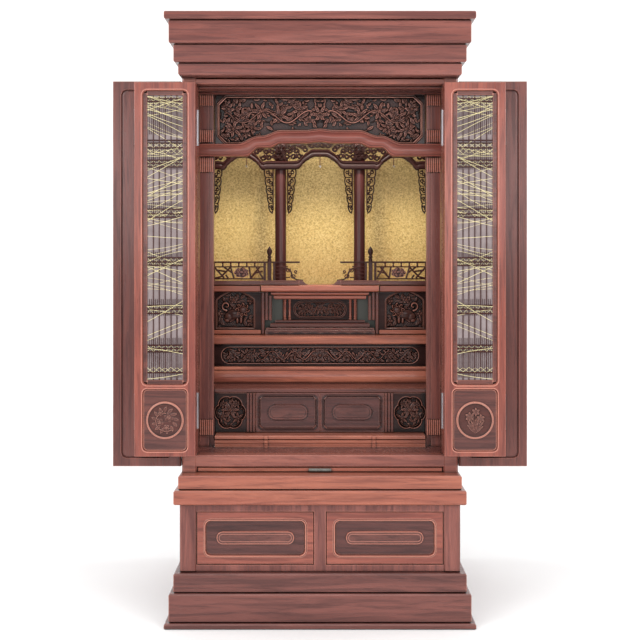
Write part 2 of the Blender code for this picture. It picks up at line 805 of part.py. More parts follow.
def make_lower_row():
    z = (row_bottom, row_top - gap)
    x = (small_drawer_half + gap, inner_half - gap)
    window_x0 = small_drawer_half + rib_width + 0.002
    centre = ((window_x0 + column_inner) / 2, (z[0] + z[1]) / 2)
    window = cloud(*centre, (column_inner - window_x0) / 2 - 0.001, (z[1] - z[0]) / 2 - 0.008, 6)
    panel = carved_panel("lower_panel_right", x, z, row_front, window, (6, 6), foliage, thick=0.012)
    ribs = []
    pitch = rib_width / 3
    for k in range(3):
        low = small_drawer_half + 0.001 + k * pitch
        ribs.append(block("rib", (low, low + pitch - 0.0012), (row_front - 0.0025, row_front + 0.004),
                          (z[0] + 0.0005, z[1] - 0.0005), rosewood))
    panel = combine(panel, ribs, "UNION")
    mirrored(panel, "lower_panel_left")
    margin, moat = 0.0095, 0.017
    drawer_x = (gap, small_drawer_half - gap)
    drawer_z = (z[0] + gap, z[1] - gap)
    steps = drawer_face(margin, 0.008, moat, drawer_z[1] - drawer_z[0] - 2 * (margin + moat))
    right = make_drawer("lower_drawer_right", drawer_x, drawer_z, row_front + 0.001, 0.16, steps, 1)
    mirrored(right, "lower_drawer_left")
    block("lower_top", (gap - inner_half, inner_half - gap), (row_front - 0.001, inside_back - 0.06),
          (row_top, lower_top_top), rosewood, 0.0015)


def make_riser():
    """A plain board rounded like a bolster, under a thin rail."""
    y = post_front + riser_setback
    z = lower_top_top + gap
    tall = riser_height - gap
    rail = 0.009
    swell = [(y + 0.004 * (1 - math.sin(math.pi * k / 6)), z + (tall - rail) * k / 6, True) for k in range(7)]
    lip = [(y + 0.001, z + tall - rail + 0.001, True), (y, z + tall - 0.006, True), (y, z + tall - 0.001, True),
           (y + 0.002, z + tall, True)]
    rear = [(y + 0.016, z + tall, False), (y + 0.016, z, False)]
    half = inner_half - gap
    along("riser", swell + lip + rear, ((-half, 0.0), (half, 0.0)), rosewood)


def make_frieze():
    """A long carved board whose opening has round ends."""
    y = post_front + frieze_setback
    x = (gap - inner_half, inner_half - gap)
    z = (riser_top + gap, frieze_top - gap)
    opening = round_rect(-0.239, 0.239, z[0] + 0.0075, z[1] - 0.0085, (z[1] - z[0] - 0.0162) / 2, 3)
    carved_panel("frieze", x, z, y, opening, (33, 4), scrollwork)
    block("altar_shelf", x, (y - 0.010, inside_back - gap), (frieze_top, shelf_top), rosewood, 0.003, 2)


make_columns()
make_step()
make_lower_row()
make_riser()
make_frieze()

# The altar and its wings

altar_front = post_front + altar_setback
altar_half = 0.1455
altar_rear = gold_front - 0.006
wing_front = post_front + wing_setback
# Tiers from the bottom up, each as half its width, its height and its eased edge
altar_base_tiers = ((0.136, 0.0110, 0.0008), (0.1340, 0.0052, 0.0008), (0.1235, 0.0110, 0.002),
                    (0.112, 0.0070, 0.0015))
altar_top_tiers = ((0.1155, 0.0100, 0.002), (0.1225, 0.0092, 0.003), (altar_half, 0.0163, 0.003))


def altar_rect(half, z, ease=0.0):
    """Plan outline of an altar tier, almost level at the back."""
    front_y = altar_front + altar_half - half
    rear = altar_rear - (altar_half - half) * back_step
    return level(rect(-half + ease, half - ease, front_y + ease, rear), z)


def altar_tiers(name, tiers, z, material):
    """Stacked mouldings given as (half width, height, ease)."""
    loops = []
    for half, tall, ease in tiers:
        loops += [altar_rect(half, z, ease), altar_rect(half, z + ease), altar_rect(half, z + tall - ease),
                  altar_rect(half, z + tall, ease)]
        z += tall
    return loft(name, loops, material)


def make_altar():
    z = shelf_top + gap
    base = altar_tiers("altar_base", altar_base_tiers, z, rosewood)
    scallops = [(-0.120, z - 0.01)]
    for k in range(6):
        left = -0.120 + 0.040 * k
        for share in (0.15, 0.5, 0.85):
            scallops.append((left + 0.040 * share, z + 0.006 * math.sin(math.pi * share) ** 0.7))
    scallops.append((0.120, z - 0.01))
    apron_front = altar_front + altar_half - altar_base_tiers[0][0]
    combine(base, [plate("scallops", [scallops], apron_front - 0.01, apron_front + 0.003, rosewood)], "DIFFERENCE")
    z = altar_base_top
    top = altar_waist_top - gap
    waist_half = 0.093
    waist_y = altar_front + altar_half - altar_base_tiers[-1][0] + 0.006
    slot = round_rect(-0.063, 0.063, z + 0.0078, top - 0.0078, 0.016, 3)
    waist = carved_panel("altar_waist", (-waist_half, waist_half), (z, top), waist_y, slot, (15, 5), scrollwork,
                         thick=0.030)
    posts = []
    for side in (-1, 1):
        for x in (0.0765, 0.0875):
            posts.append(block("colonnette", (side * x - 0.0035, side * x + 0.0035), (waist_y - 0.003, waist_y + 0.004),
                               (z + 0.0005, top - 0.0005), rosewood))
    combine(waist, posts, "UNION")
    altar_tiers("altar_top", altar_top_tiers, altar_waist_top, rosewood)


def make_wings():
    """A panel with an arched niche on each side, a top board over it and three ribs beside it."""
    x = (altar_half - 0.0265, inner_half - gap)
    z = (shelf_top + gap, altar_top_top - 0.016)
    rib_zone = 0.028
    niche = (x[0] + rib_zone + 0.018, x[1] - 0.031)
    spring = z[1] - 0.022
    middle = (niche[0] + niche[1]) / 2
    half = (niche[1] - niche[0]) / 2
    arch = [(niche[0], z[0] + 0.017), (niche[1], z[0] + 0.017)]
    for k in range(9):
        angle = math.pi * k / 8
        ogee = 0.004 * max(0.0, 1 - abs(k - 4))
        arch.append((middle + half * math.cos(angle), spring + 0.014 * math.sin(angle) ** 0.8 + ogee))
    wing = carved_panel("altar_wing_right", x, z, wing_front, arch, (7, 7), foliage, sunk=0.006, thick=0.012)
    extra = [block("top", (altar_half + 2 * gap, x[1] - gap), (wing_front - 0.006, altar_rear),
                   (z[1] - 0.001, altar_top_top), rosewood, 0.0025),
             block("foot", (x[0] + rib_zone, x[1] - 2 * gap), (wing_front - 0.004, wing_front + 0.006),
                   (z[0] + gap, z[0] + 0.011), rosewood)]
    for k in range(3):
        low = x[0] + 0.0012 + 0.009 * k
        extra.append(block("rib", (low, low + 0.0078), (wing_front - 0.003, wing_front + 0.006),
                           (z[0] + 2 * gap, z[1] - 2 * gap), rosewood))
    wing = combine(wing, extra, "UNION")
    deep = (wing_front - 0.02, altar_rear + 0.01)
    inside = x[0] - 0.01
    low_tier, high_tier = (altar_waist_top + sum(tall for half, tall, ease in altar_top_tiers[:k]) - gap for k in (1, 2))
    notches = [block("base_notch", (inside, altar_base_tiers[0][0] + gap), deep, (z[0] - 0.01, altar_base_top + gap),
                     rosewood),
               block("tier_notch", (inside, altar_top_tiers[1][0] + gap), deep, (low_tier, altar_top_top + 0.01),
                     rosewood),
               block("top_notch", (inside, altar_half + gap), deep, (high_tier, altar_top_top + 0.01), rosewood)]
    wing = combine(wing, notches, "DIFFERENCE")
    mirrored(wing, "altar_wing_left")


def make_railings():
    """A fretted rail on its board, a newel with a bud finial, and a wing that falls in a scroll."""
    z = altar_top_top + gap
    y = altar_front + 0.006
    base = rail_board_height
    top = z + base + rail_height
    outer = inner_half - 0.0215
    newel = 0.1255
    low_edge = z + gap
    outline = [(outer, low_edge), (outer, top), (newel + 0.0145, top), (newel + 0.0145, top + 0.003),
               (newel - 0.0145, top + 0.003), (newel - 0.0145, top - 0.001), (0.051, top), (0.049, top - 0.0035),
               (0.078, top - 0.005), (0.069, top - 0.011), (0.062, top - 0.020), (0.056, top - 0.033),
               (0.047, top - 0.040), (0.040, z + base - 0.001), (0.035, z + 0.006), (0.031, low_edge)]
    low, high = z + base + 0.003, top - 0.0165
    row = (high + 0.004, top - 0.003)
    holes = []
    run = outer - newel - 0.0395       # length of the fretted run beyond the newel's side post
    fret = newel + 0.0165
    for x0, x1 in ((fret, fret + 0.018), (fret + 0.975 * run, outer - 0.004)):
        holes.append([(x0, low), (x1, low), (x1, high), (x0, high)])
    for k in range(4):
        x0 = fret + 0.001 + 0.2935 * run * k
        sill, head = row[0] + 0.0002 * k * k, row[1] - 0.0002 * k * k
        holes.append([(x0, sill), (x0 + 0.017, sill), (x0 + 0.024, head), (x0 + 0.004, head)])
    holes.append([(0.080, low + 0.001), (0.060, low + 0.001), (0.068, low + 0.013), (0.078, low + 0.017)])
    holes.append([(0.086, row[0] - 0.001), (0.084, row[1] - 0.001), (0.097, row[1] - 0.001), (0.108, row[0] - 0.001)])
    rail = plate("railing_right", [outline] + holes, y, y + 0.007, dark_wood)
    bud = [(0.0, 0.0395), (0.0022, 0.035), (0.0070, 0.026), (0.0035, 0.0165), (0.0055, 0.013), (0.0035, 0.010),
           (0.0052, 0.004), (0.0052, -0.008), (0.0, -0.008)]
    finial = turned("finial", [(r, top + h) for r, h in bud], newel, y + 0.0035, dark_wood, 6)
    posts = [finial]
    for x in (newel - 0.0118, newel, newel + 0.0118):
        wide = 0.0048 if x == newel else 0.0030
        deep = 0.006 if x == newel else 0.003
        posts.append(block("post", (x - wide, x + wide), (y - deep, y + 0.009), (z + base - 0.001, top - 0.004),
                           dark_wood))
    posts.append(block("board", (0.034, newel + 0.020), (y - 0.004, y + 0.010), (z, z + base), dark_wood))
    posts.append(block("cloud", (fret + 0.028, fret + 0.935 * run), (y - 0.002, y + 0.006), (low - 0.001, high + 0.001), carved_wood))
    rail = combine(rail, posts, "UNION")
    mirrored(rail, "railing_left")


make_altar()
make_wings()
make_railings()

# The screen of arches, its pillars and the gold panels behind

screen_front = post_front + screen_setback
arch_top = altar_top_top + 0.3215      # underside of the middle arch at its crown
arch_drop = 0.032                      # from there down to the arch's feet
bracket_drop = 0.110
screen_top = head_bottom - 0.060
pillar_radius = 0.014
pillar_x = 0.0995


def arch_half(centre, half, top, side):
    """Underside of a cusped arch from its crown out to one foot."""
    shares = ((0.0, 0.0), (0.30, 0.0), (0.40, 0.06), (0.46, 0.24), (0.62, 0.40), (0.76, 0.62), (0.86, 0.92), (1.0, 1.0))
    return [(centre + side * half * u, top - arch_drop * v) for u, v in shares]


def bracket(inner, outer, foot):
    """A hanging bracket's edge from its inner side down round its tip and up its outer side."""
    points = []
    lobes = 4
    for k in range(lobes * 2 + 1):
        share = k / (lobes * 2)
        wide = (outer - inner) * (1.0 - 0.35 * share)
        bulge = 0.14 * (outer - inner) * (k % 2)
        points.append((outer - wide - bulge, foot - bracket_drop * share))
    return points + [(outer, foot - bracket_drop * 0.97), (outer, foot)]


def bracket_holes(inner, outer, foot):
    """Two openings down a bracket, each six-sided."""
    holes = []
    for k in range(2):
        share = 0.18 + 0.34 * k
        cx = outer - (outer - inner) * (0.46 - 0.09 * k)
        cz = foot - bracket_drop * share
        rx, rz = abs(outer - inner) * (0.27 - 0.05 * k), bracket_drop * 0.10
        holes.append([(cx + rx * math.cos(math.pi * n / 3), cz + rz * math.sin(math.pi * n / 3)) for n in range(6)])
    return holes


def make_screen():
    """Half the lower edge is drawn from the middle out, then mirrored."""
    foot = arch_top - arch_drop
    side_inner, side_outer = 0.139, inner_half - 0.040
    side_centre, side_half = (side_inner + side_outer) / 2, (side_outer - side_inner) / 2
    end_bracket = inner_half - 0.022
    half = arch_half(0.0, 0.061, arch_top, 1)
    half += bracket(0.061, 0.078, foot)[1:]
    half += [(0.1215, foot)] + bracket(side_inner, 0.1215, foot)[-2::-1]
    half += arch_half(side_centre, side_half, arch_top - 0.003, -1)[::-1][1:]
    half += arch_half(side_centre, side_half, arch_top - 0.003, 1)[1:]
    half += bracket(side_outer, end_bracket, foot - 0.003)[1:]
    half += [(inner_half - gap, foot - 0.003)]
    edge = [(-x, z) for x, z in half[:0:-1]] + half
    outline = edge + [(inner_half - gap, screen_top), (gap - inner_half, screen_top)]
    holes = []
    for pair in ((0.061, 0.078), (side_inner, 0.1215), (side_outer, end_bracket)):
        holes += bracket_holes(*pair, foot)
    for cx, cz, rx, rz in ((0.152, 0.028, 0.008, 0.006), (0.135, 0.016, 0.008, 0.010), (0.0705, 0.016, 0.007, 0.008),
                           (0.054, 0.038, 0.008, 0.005)):
        holes.append([(cx + rx * math.cos(math.pi * n / 3), foot + cz + rz * math.sin(math.pi * n / 3))
                      for n in range(6)])
    holes += [[(-x, z) for x, z in hole] for hole in holes]
    plate("arch_screen", [outline] + holes, screen_front, screen_front + screen_thickness, dark_wood)
    y = screen_front + screen_thickness + gap + pillar_radius
    low = altar_top_top + gap
    profile = ((0.0, screen_top), (pillar_radius, screen_top), (pillar_radius, low + 0.004),
               (pillar_radius - 0.002, low), (0.0, low))
    right = turned("pillar_right", profile, pillar_x, y, dark_wood, 16)
    mirrored(right, "pillar_left")


def make_gold():
    """Gilded panels: a middle one set back, and a side one folded forward at each side."""
    y = gold_front
    middle, turn, thick = 0.158, 0.010, 0.004
    half = inner_half - gap
    near = [(-half, y), (-middle, y + turn), (middle, y + turn), (half, y)]
    plan = near + [(x, v + thick) for x, v in near[::-1]]
    loft("gold_panels", [level(plan, shelf_top + gap), level(plan, head_bottom - gap)], gold_leaf)


make_screen()
make_gold()

# The rainbow beam and the carved transom over it

beam_front = post_front + beam_setback


def beam_over(x):
    """Rise of the beam's top edge over its flat ends."""
    a = abs(x)
    peak = 0.0034 * max(0.0, 1 - a / 0.028)
    return 0.0155 * smooth((0.188 - a) / 0.045) + 0.0133 * smooth((0.135 - a) / 0.045) + peak


def beam_under(x):
    """Rise of the beam's underside, which steps up in two cusps."""
    a = abs(x)
    peak = 0.0034 * max(0.0, 1 - a / 0.028)
    return 0.020 * smooth((0.168 - a) / 0.026) + 0.010 * smooth((0.116 - a) / 0.026) + peak


def make_beam():
    half = inner_half - gap
    half_under = (0.0, 0.028, 0.090, 0.099, 0.107, 0.116, 0.142, 0.151, 0.159, 0.168, half)
    half_over = (0.0, 0.028, 0.090, 0.105, 0.120, 0.135, 0.143, 0.158, 0.173, 0.188, half)
    under = sorted([-x for x in half_under[1:]] + list(half_under))
    over = sorted([-x for x in half_over[1:]] + list(half_over))
    outline = [(x, beam_bottom + beam_under(x)) for x in under]
    outline += [(x, beam_bottom + beam_flat + beam_over(x)) for x in over[::-1]]
    plate("rainbow_beam", [outline], beam_front, beam_front + beam_thickness, rosewood)


def make_transom():
    face = column_front + 0.010
    half = column_inner - 0.002
    z = (beam_bottom + 0.006, head_bottom - gap)
    cut = 0.017
    open_half = 0.2325
    top = z[1] - 0.0105
    bottom = beam_bottom + beam_flat + 0.006
    opening = [(open_half, top - cut), (open_half - cut, top), (cut - open_half, top), (-open_half, top - cut),
               (-open_half, bottom + cut), (cut - open_half, bottom)]
    for x in (-0.188, -0.165, -0.143, -0.123, -0.101, -0.090, -0.028, 0.0, 0.028, 0.090, 0.101, 0.123, 0.143, 0.165,
              0.188):
        opening.append((x, bottom + beam_over(x)))
    opening += [(open_half - cut, bottom), (open_half, bottom + cut)]
    board = carved_panel("transom", (-half, half), z, face, opening, (25, 6), foliage, sunk=0.006, thick=0.010)
    places = (-0.180, -0.168, -0.159, -0.151, -0.142, -0.116, -0.107, -0.099, -0.090, 0.0)
    places += tuple(-x for x in places[-2::-1])
    rim = [(x, beam_bottom + beam_under(x) + 0.012) for x in places]
    rim += [(0.181, z[0] - 0.01), (-0.181, z[0] - 0.01)]
    cutter = plate("under_beam", [rim], face - 0.01, face + 0.02, rosewood)
    combine(board, [cutter], "DIFFERENCE")


make_beam()
make_transom()
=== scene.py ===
import math
import bmesh
import bpy
import numpy as np
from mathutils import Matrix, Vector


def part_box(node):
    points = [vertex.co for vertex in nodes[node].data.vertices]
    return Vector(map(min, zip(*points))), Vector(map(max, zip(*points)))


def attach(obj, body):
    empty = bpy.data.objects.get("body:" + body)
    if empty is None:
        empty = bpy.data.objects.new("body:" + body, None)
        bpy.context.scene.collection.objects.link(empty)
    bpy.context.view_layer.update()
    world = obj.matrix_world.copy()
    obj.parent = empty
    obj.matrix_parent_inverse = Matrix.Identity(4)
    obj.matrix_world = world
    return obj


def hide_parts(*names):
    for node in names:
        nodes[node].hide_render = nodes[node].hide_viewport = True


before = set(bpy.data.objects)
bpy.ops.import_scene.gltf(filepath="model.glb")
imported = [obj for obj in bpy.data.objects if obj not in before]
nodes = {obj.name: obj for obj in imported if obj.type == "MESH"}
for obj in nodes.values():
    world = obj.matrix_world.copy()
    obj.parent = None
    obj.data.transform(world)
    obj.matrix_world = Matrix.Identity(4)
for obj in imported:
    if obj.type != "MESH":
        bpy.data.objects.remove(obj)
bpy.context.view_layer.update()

print("frame loaded with", len(nodes), "nodes")

# Measures of the cabinet that several pieces share, in metres
cabinetPlan = {"innerHalf": 0.2867, "altarTop": 0.7268}


def tone(red, green, blue):
    # a screen colour from 0 to 255 turned into the linear colour that a shader takes
    share = np.array([red, green, blue]) / 255.0
    linear = np.where(share <= 0.04045, share / 12.92, ((share + 0.055) / 1.055) ** 2.4)
    return (*linear.tolist(), 1.0)


# Shader groups

def newGroup(name, inputs, outputs):
    # an input's first value gives its kind: one number, a vector of three or a colour of four
    group = bpy.data.node_groups.new(name, "ShaderNodeTree")
    for label, value in inputs.items():
        kind = "Float" if isinstance(value, float) else {3: "Vector", 4: "Color"}[len(value)]
        made = group.interface.new_socket(label, in_out="INPUT", socket_type="NodeSocket" + kind)
        made.default_value = value
    for label, kind in outputs.items():
        group.interface.new_socket(label, in_out="OUTPUT", socket_type="NodeSocket" + kind)
    return group, group.nodes.new("NodeGroupInput").outputs, group.nodes.new("NodeGroupOutput").inputs


def feed(tree, socket, value):
    # another node's output is linked to the socket, and a plain value is set on it
    if hasattr(value, "is_linked"):
        tree.links.new(value, socket)
    else:
        socket.default_value = value


def addNode(tree, kind, settings=None, sockets=None):
    made = tree.nodes.new(kind)
    for key, value in (settings or {}).items():
        setattr(made, key, value)
    for key, value in (sockets or {}).items():
        feed(tree, made.inputs[key], value)
    return made


def mathNode(tree, operation, *values):
    return addNode(tree, "ShaderNodeMath", {"operation": operation}, dict(enumerate(values))).outputs[0]


def linearNode(tree, value, factor, base):
    # base + factor * value
    return mathNode(tree, "ADD", mathNode(tree, "MULTIPLY", value, factor), base)


def mixColour(tree, share, first, second):
    return addNode(tree, "ShaderNodeMix", {"data_type": "RGBA"}, {0: share, 6: first, 7: second}).outputs[2]


def mapRange(tree, value, low, high, bottom=0.0, top=1.0):
    # the result runs from bottom to top while the value runs from low to high, and is held at both ends
    sockets = {"Value": value, "From Min": low, "From Max": high, "To Min": bottom, "To Max": top}
    return addNode(tree, "ShaderNodeMapRange", None, sockets).outputs[0]


def noiseNode(tree, vector, scale, detail, roughness=0.5, distortion=0.0):
    sockets = {"Vector": vector, "Scale": scale, "Detail": detail, "Roughness": roughness, "Distortion": distortion}
    return addNode(tree, "ShaderNodeTexNoise", None, sockets).outputs["Fac"]


def placeOn(tree):
    return addNode(tree, "ShaderNodeTexCoord").outputs["Object"]


def makeGrainGroup():
    # rosewood: broad dark streaks, fine lines and short pores, all drawn out along one axis
    group, given, out = newGroup("rosewoodGrain",
                                 {"Stretch": (1.0, 1.0, 1.0), "Light": tone(150, 84, 62), "Middle": tone(112, 60, 50),
                                  "Dark": tone(62, 34, 33), "Streaks": 1.0},
                                 {"Colour": "Color", "Rough": "Float", "Height": "Float"})
    drawn = addNode(group, "ShaderNodeVectorMath", {"operation": "MULTIPLY"},
                    {0: placeOn(group), 1: given["Stretch"]}).outputs[0]
    broad = noiseNode(group, drawn, 15.0, 3.0, 0.6, 0.9)
    fine = noiseNode(group, drawn, 85.0, 4.0, 0.6, 1.2)
    pores = mapRange(group, noiseNode(group, drawn, 420.0, 2.0, 0.6), 0.60, 0.72)
    colour = mixColour(group, mapRange(group, broad, 0.38, 0.62), given["Middle"], given["Light"])
    amount = mathNode(group, "MULTIPLY", mapRange(group, fine, 0.42, 0.64), given["Streaks"])
    colour = mixColour(group, mathNode(group, "MULTIPLY", amount, 0.62), colour, given["Dark"])
    feed(group, out["Colour"], mixColour(group, mathNode(group, "MULTIPLY", pores, 0.45), colour, given["Dark"]))
    feed(group, out["Rough"], linearNode(group, fine, 0.22, 0.17))
    feed(group, out["Height"], mathNode(group, "SUBTRACT", 1.0, pores))
    return group


def makeReliefLightGroup():
    # painted light from the shape's own pointiness: painted shade darkens the hollows and a painted highlight lightens
    # the proud places
    group, given, out = newGroup("carvedHighlightAndShade",
                                 {"Colour": tone(60, 34, 30), "Proud Highlight": tone(160, 110, 96), "Hollow Shade": tone(14, 9, 8)},
                                 {"Colour": "Color"})
    pointed = addNode(group, "ShaderNodeNewGeometry").outputs["Pointiness"]
    lit = mixColour(group, mapRange(group, pointed, 0.502, 0.56), given["Colour"], given["Proud Highlight"])
    feed(group, out["Colour"], mixColour(group, mapRange(group, pointed, 0.497, 0.44), lit, given["Hollow Shade"]))
    return group


def makePaintedShadeAndArrisGroup():
    # painted shade: seams go dark where a place is closed in within reach, from open to shut; painted highlight:
    # arrises take a lighter line
    group, given, out = newGroup("seamShadeAndArrisHighlight",
                                 {"Colour": tone(128, 74, 64), "Seam": tone(26, 12, 12), "Arris": tone(214, 150, 132),
                                  "Seam Share": 0.9, "Open": 0.86, "Shut": 0.42, "Reach": 0.007, "Arris Share": 0.55},
                                 {"Colour": "Color"})
    around = addNode(group, "ShaderNodeAmbientOcclusion", {"samples": 6}, {"Distance": given["Reach"]}).outputs["AO"]
    within = addNode(group, "ShaderNodeAmbientOcclusion", {"samples": 6, "inside": True, "only_local": True},
                     {"Distance": 0.0024}).outputs["AO"]
    seam = mathNode(group, "MULTIPLY", mapRange(group, around, given["Open"], given["Shut"]), given["Seam Share"])
    arris = mathNode(group, "MULTIPLY", mapRange(group, within, 0.92, 0.45), given["Arris Share"])
    lit = mixColour(group, arris, given["Colour"], given["Arris"])
    feed(group, out["Colour"], mixColour(group, seam, lit, given["Seam"]))
    return group


grainGroup = makeGrainGroup()
reliefLightGroup = makeReliefLightGroup()
paintedShadeAndArrisGroup = makePaintedShadeAndArrisGroup()


def newMaterial(name):
    # a material, its node tree and its shader's inputs
    material = bpy.data.materials.new(name)
    material.use_nodes = True
    return material, material.node_tree, material.node_tree.nodes["Principled BSDF"].inputs


def addBump(tree, shader, height, strength, distance):
    sockets = {"Strength": strength, "Distance": distance, "Height": height}
    feed(tree, shader["Normal"], addNode(tree, "ShaderNodeBump", None, sockets).outputs["Normal"])


# deeper painted shade for the hollows of a carving
deepShade = {"Seam": tone(6, 3, 3), "Open": 1.0, "Shut": 0.66, "Reach": 0.016}   # the hollows of a carving


def makeRosewood(name, axis, tones, streaks=1.0, coat=0.12, rough=0.0, proud=None, arris=tone(200, 136, 118),
                 along=0.06, edges=0.55, shine=0.30):
    # polished rosewood with its grain along one axis, drawn out further by a smaller along; painted shade darkens its
    # seams and a painted highlight lightens its arrises.
    # A carving's wood also has a painted highlight colour for its proud places, painted shade in its hollows and
    # deeper painted seam shade
    material, tree, shader = newMaterial(name)
    stretch = [along if letter == axis else 1.0 for letter in "xyz"]
    grain = addNode(tree, "ShaderNodeGroup", {"node_tree": grainGroup},
                    {"Stretch": stretch, "Light": tones[0], "Middle": tones[1], "Dark": tones[2], "Streaks": streaks})
    look = {"Colour": grain.outputs["Colour"], "Arris": arris, "Arris Share": edges}
    if proud is not None:
        # a carving's wood gets a painted highlight on its proud places and painted shade in its hollows
        reliefLight = addNode(tree, "ShaderNodeGroup", {"node_tree": reliefLightGroup}, {"Colour": look["Colour"], "Proud Highlight": proud})
        look.update(deepShade, Colour=reliefLight.outputs["Colour"])
    seams = addNode(tree, "ShaderNodeGroup", {"node_tree": paintedShadeAndArrisGroup}, look)
    feed(tree, shader["Base Color"], seams.outputs["Colour"])
    feed(tree, shader["Roughness"], mathNode(tree, "ADD", grain.outputs["Rough"], rough))
    addBump(tree, shader, grain.outputs["Height"], 0.15, 0.0004)
    for label, value in (("Coat Weight", coat), ("Specular IOR Level", shine), ("Coat Roughness", 0.14)):
        shader[label].default_value = value
    return material


def shades(*numbers):
    # the light, middle and dark tone of a wood
    return [tone(*numbers[at:at + 3]) for at in (0, 3, 6)]


bodyTones = shades(136, 82, 73, 114, 65, 58, 70, 37, 36)
lightTones = shades(152, 86, 72, 128, 68, 59, 82, 42, 38)
warmTones = shades(174, 106, 84, 149, 85, 69, 98, 51, 43)
baseTones = shades(120, 72, 65, 99, 58, 53, 62, 36, 35)
innerTones = shades(110, 67, 60, 88, 52, 48, 52, 30, 29)

# Each wood: the axis of its grain, its tones and what else differs from plain rosewood
woods = {
    "postWood": ("z", bodyTones, {}),
    "leafWood": ("z", lightTones, {}),
    "doorWood": ("z", baseTones, {}),
    "crownWood": ("x", bodyTones, {}),
    "railWood": ("x", bodyTones, {}),
    "beamWood": ("x", lightTones, {"streaks": 0.7}),
    "warmWood": ("x", warmTones, {}),
    "baseWood": ("x", baseTones, {}),
    "sideWood": ("z", baseTones, {}),
    "innerWood": ("x", innerTones, {}),
    "ledgeWood": ("x", warmTones, {"streaks": 0.8}),
    "darkWood": ("x", shades(66, 37, 33, 44, 24, 22, 20, 11, 11), {"streaks": 0.6, "arris": tone(84, 48, 42),
                                                                   "shine": 0.14}),
    "screenWood": ("x", shades(52, 27, 25, 34, 17, 16, 13, 7, 7), {"streaks": 0.4, "arris": tone(84, 46, 42),
                                                                   "shine": 0.16}),
    # its proud and arris colours are painted highlights
    "carvedWood": ("x", shades(78, 44, 40, 56, 30, 28, 30, 15, 15),
                   {"streaks": 0.5, "coat": 0.16, "rough": -0.10, "proud": tone(238, 174, 156),
                    "arris": tone(224, 160, 142), "edges": 0.30, "shine": 0.14}),
    # a darker copy of the carved wood with a dimmer proud colour: painted shade on the carvings it covers
    "shadedCarvedWood": ("x", shades(58, 35, 32, 42, 25, 23, 22, 12, 12),
                 {"streaks": 0.5, "coat": 0.16, "rough": -0.10, "proud": tone(176, 118, 102),
                  "arris": tone(150, 100, 88), "edges": 0.22, "shine": 0.12}),
    "medalWood": ("x", shades(92, 54, 49, 72, 42, 38, 42, 24, 23),
                  {"streaks": 0.5, "proud": tone(206, 144, 126), "edges": 0.0, "shine": 0.2}),
    # dark tones and a dark arris colour, so the lower drawers' beads read as dark groove lines: painted shade
    "trimWood": ("x", shades(60, 33, 31, 46, 25, 24, 28, 15, 15), {"streaks": 0.5, "arris": tone(38, 21, 20)}),
    "scrollWood": ("x", shades(36, 18, 16, 24, 12, 11, 12, 6, 6), {"streaks": 0.4, "arris": tone(50, 27, 24),
                                                                   "shine": 0.10}),
    "sillWood": ("x", shades(158, 98, 84, 134, 78, 68, 86, 46, 42), {}),
    "pillarWood": ("z", shades(96, 54, 50, 74, 40, 38, 40, 21, 21), {"streaks": 0.6, "shine": 0.14}),
    "drawerWood": ("x", lightTones, {}),
    "moatWood": ("x", shades(92, 54, 50, 74, 42, 39, 42, 23, 23), {}),
    # the warm tones made about 1.15 times lighter: painted light on the riser
    "riserWood": ("x", shades(200, 124, 98, 172, 100, 82, 116, 62, 52), {}),
    "fieldWood": ("x", innerTones, {}),
    "figuredWood": ("x", innerTones, {"along": 0.22}),
    "beadWood": ("x", shades(190, 124, 106, 170, 102, 88, 118, 64, 56), {"streaks": 0.5}),
}


def makeSlate():
    # dull green-grey cloth stretched over the recess beside the altar's waist
    material, tree, shader = newMaterial("slateCloth")
    thread = noiseNode(tree, placeOn(tree), 700.0, 3.0)
    feed(tree, shader["Base Color"], mixColour(tree, thread, tone(58, 60, 56), tone(86, 88, 82)))
    feed(tree, shader["Roughness"], linearNode(tree, thread, 0.2, 0.6))
    addBump(tree, shader, thread, 0.3, 0.0003)
    return material


# Painted shade on the gold: a band down each fold, a shade growing towards the head and a dark crest, by place in
# metres
goldPlan = {"fold": 0.152, "band": (0.034, 0.004, 0.50), "head": (0.88, 1.09, 0.62), "crest": (1.064, 1.086, 0.95),
            "ramp": ((0.38, tone(176, 138, 62)), (0.60, tone(252, 228, 158)), (0.48, tone(228, 192, 112)))}


def makeGoldLeaf():
    material, tree, shader = newMaterial("goldLeaf")
    place = placeOn(tree)
    mottle = noiseNode(tree, place, 230.0, 6.0, 0.8)
    cloud = noiseNode(tree, place, 9.0, 3.0)
    ramp = addNode(tree, "ShaderNodeValToRGB", None, {"Fac": mottle})
    stops = ramp.color_ramp.elements
    for at, (share, colour) in enumerate(goldPlan["ramp"]):
        stop = stops[at] if at < 2 else stops.new(share)
        stop.position, stop.color = share, colour
    leaf = mixColour(tree, mapRange(tree, cloud, 0.3, 0.7, top=0.35), ramp.outputs["Color"], tone(236, 206, 130))
    split = addNode(tree, "ShaderNodeSeparateXYZ", None, {0: place}).outputs
    fromFold = mathNode(tree, "SUBTRACT", mathNode(tree, "ABSOLUTE", split[0]), goldPlan["fold"])
    shadeOf = {"band": mathNode(tree, "ABSOLUTE", fromFold), "head": split[2], "crest": split[2]}
    for label, value in shadeOf.items():
        low, high, most = goldPlan[label]
        shadeOf[label] = mapRange(tree, value, low, high, top=most)
    speckle = mapRange(tree, mottle, 0.62, 0.40, bottom=0.35)
    # painted shade: the fold bands and the shade towards the head, mottled, then the dark crest
    paintedShade = mathNode(tree, "MULTIPLY", mathNode(tree, "MAXIMUM", shadeOf["band"], shadeOf["head"]), speckle)
    paintedShade = mathNode(tree, "MAXIMUM", paintedShade, shadeOf["crest"])
    # the painted shade mixes the leaf towards a dull brown
    feed(tree, shader["Base Color"], mixColour(tree, paintedShade, leaf, tone(96, 76, 44)))
    shader["Metallic"].default_value = 0.1
    feed(tree, shader["Roughness"], linearNode(tree, mottle, 0.3, 0.35))
    addBump(tree, shader, mottle, 0.5, 0.0008)
    return material


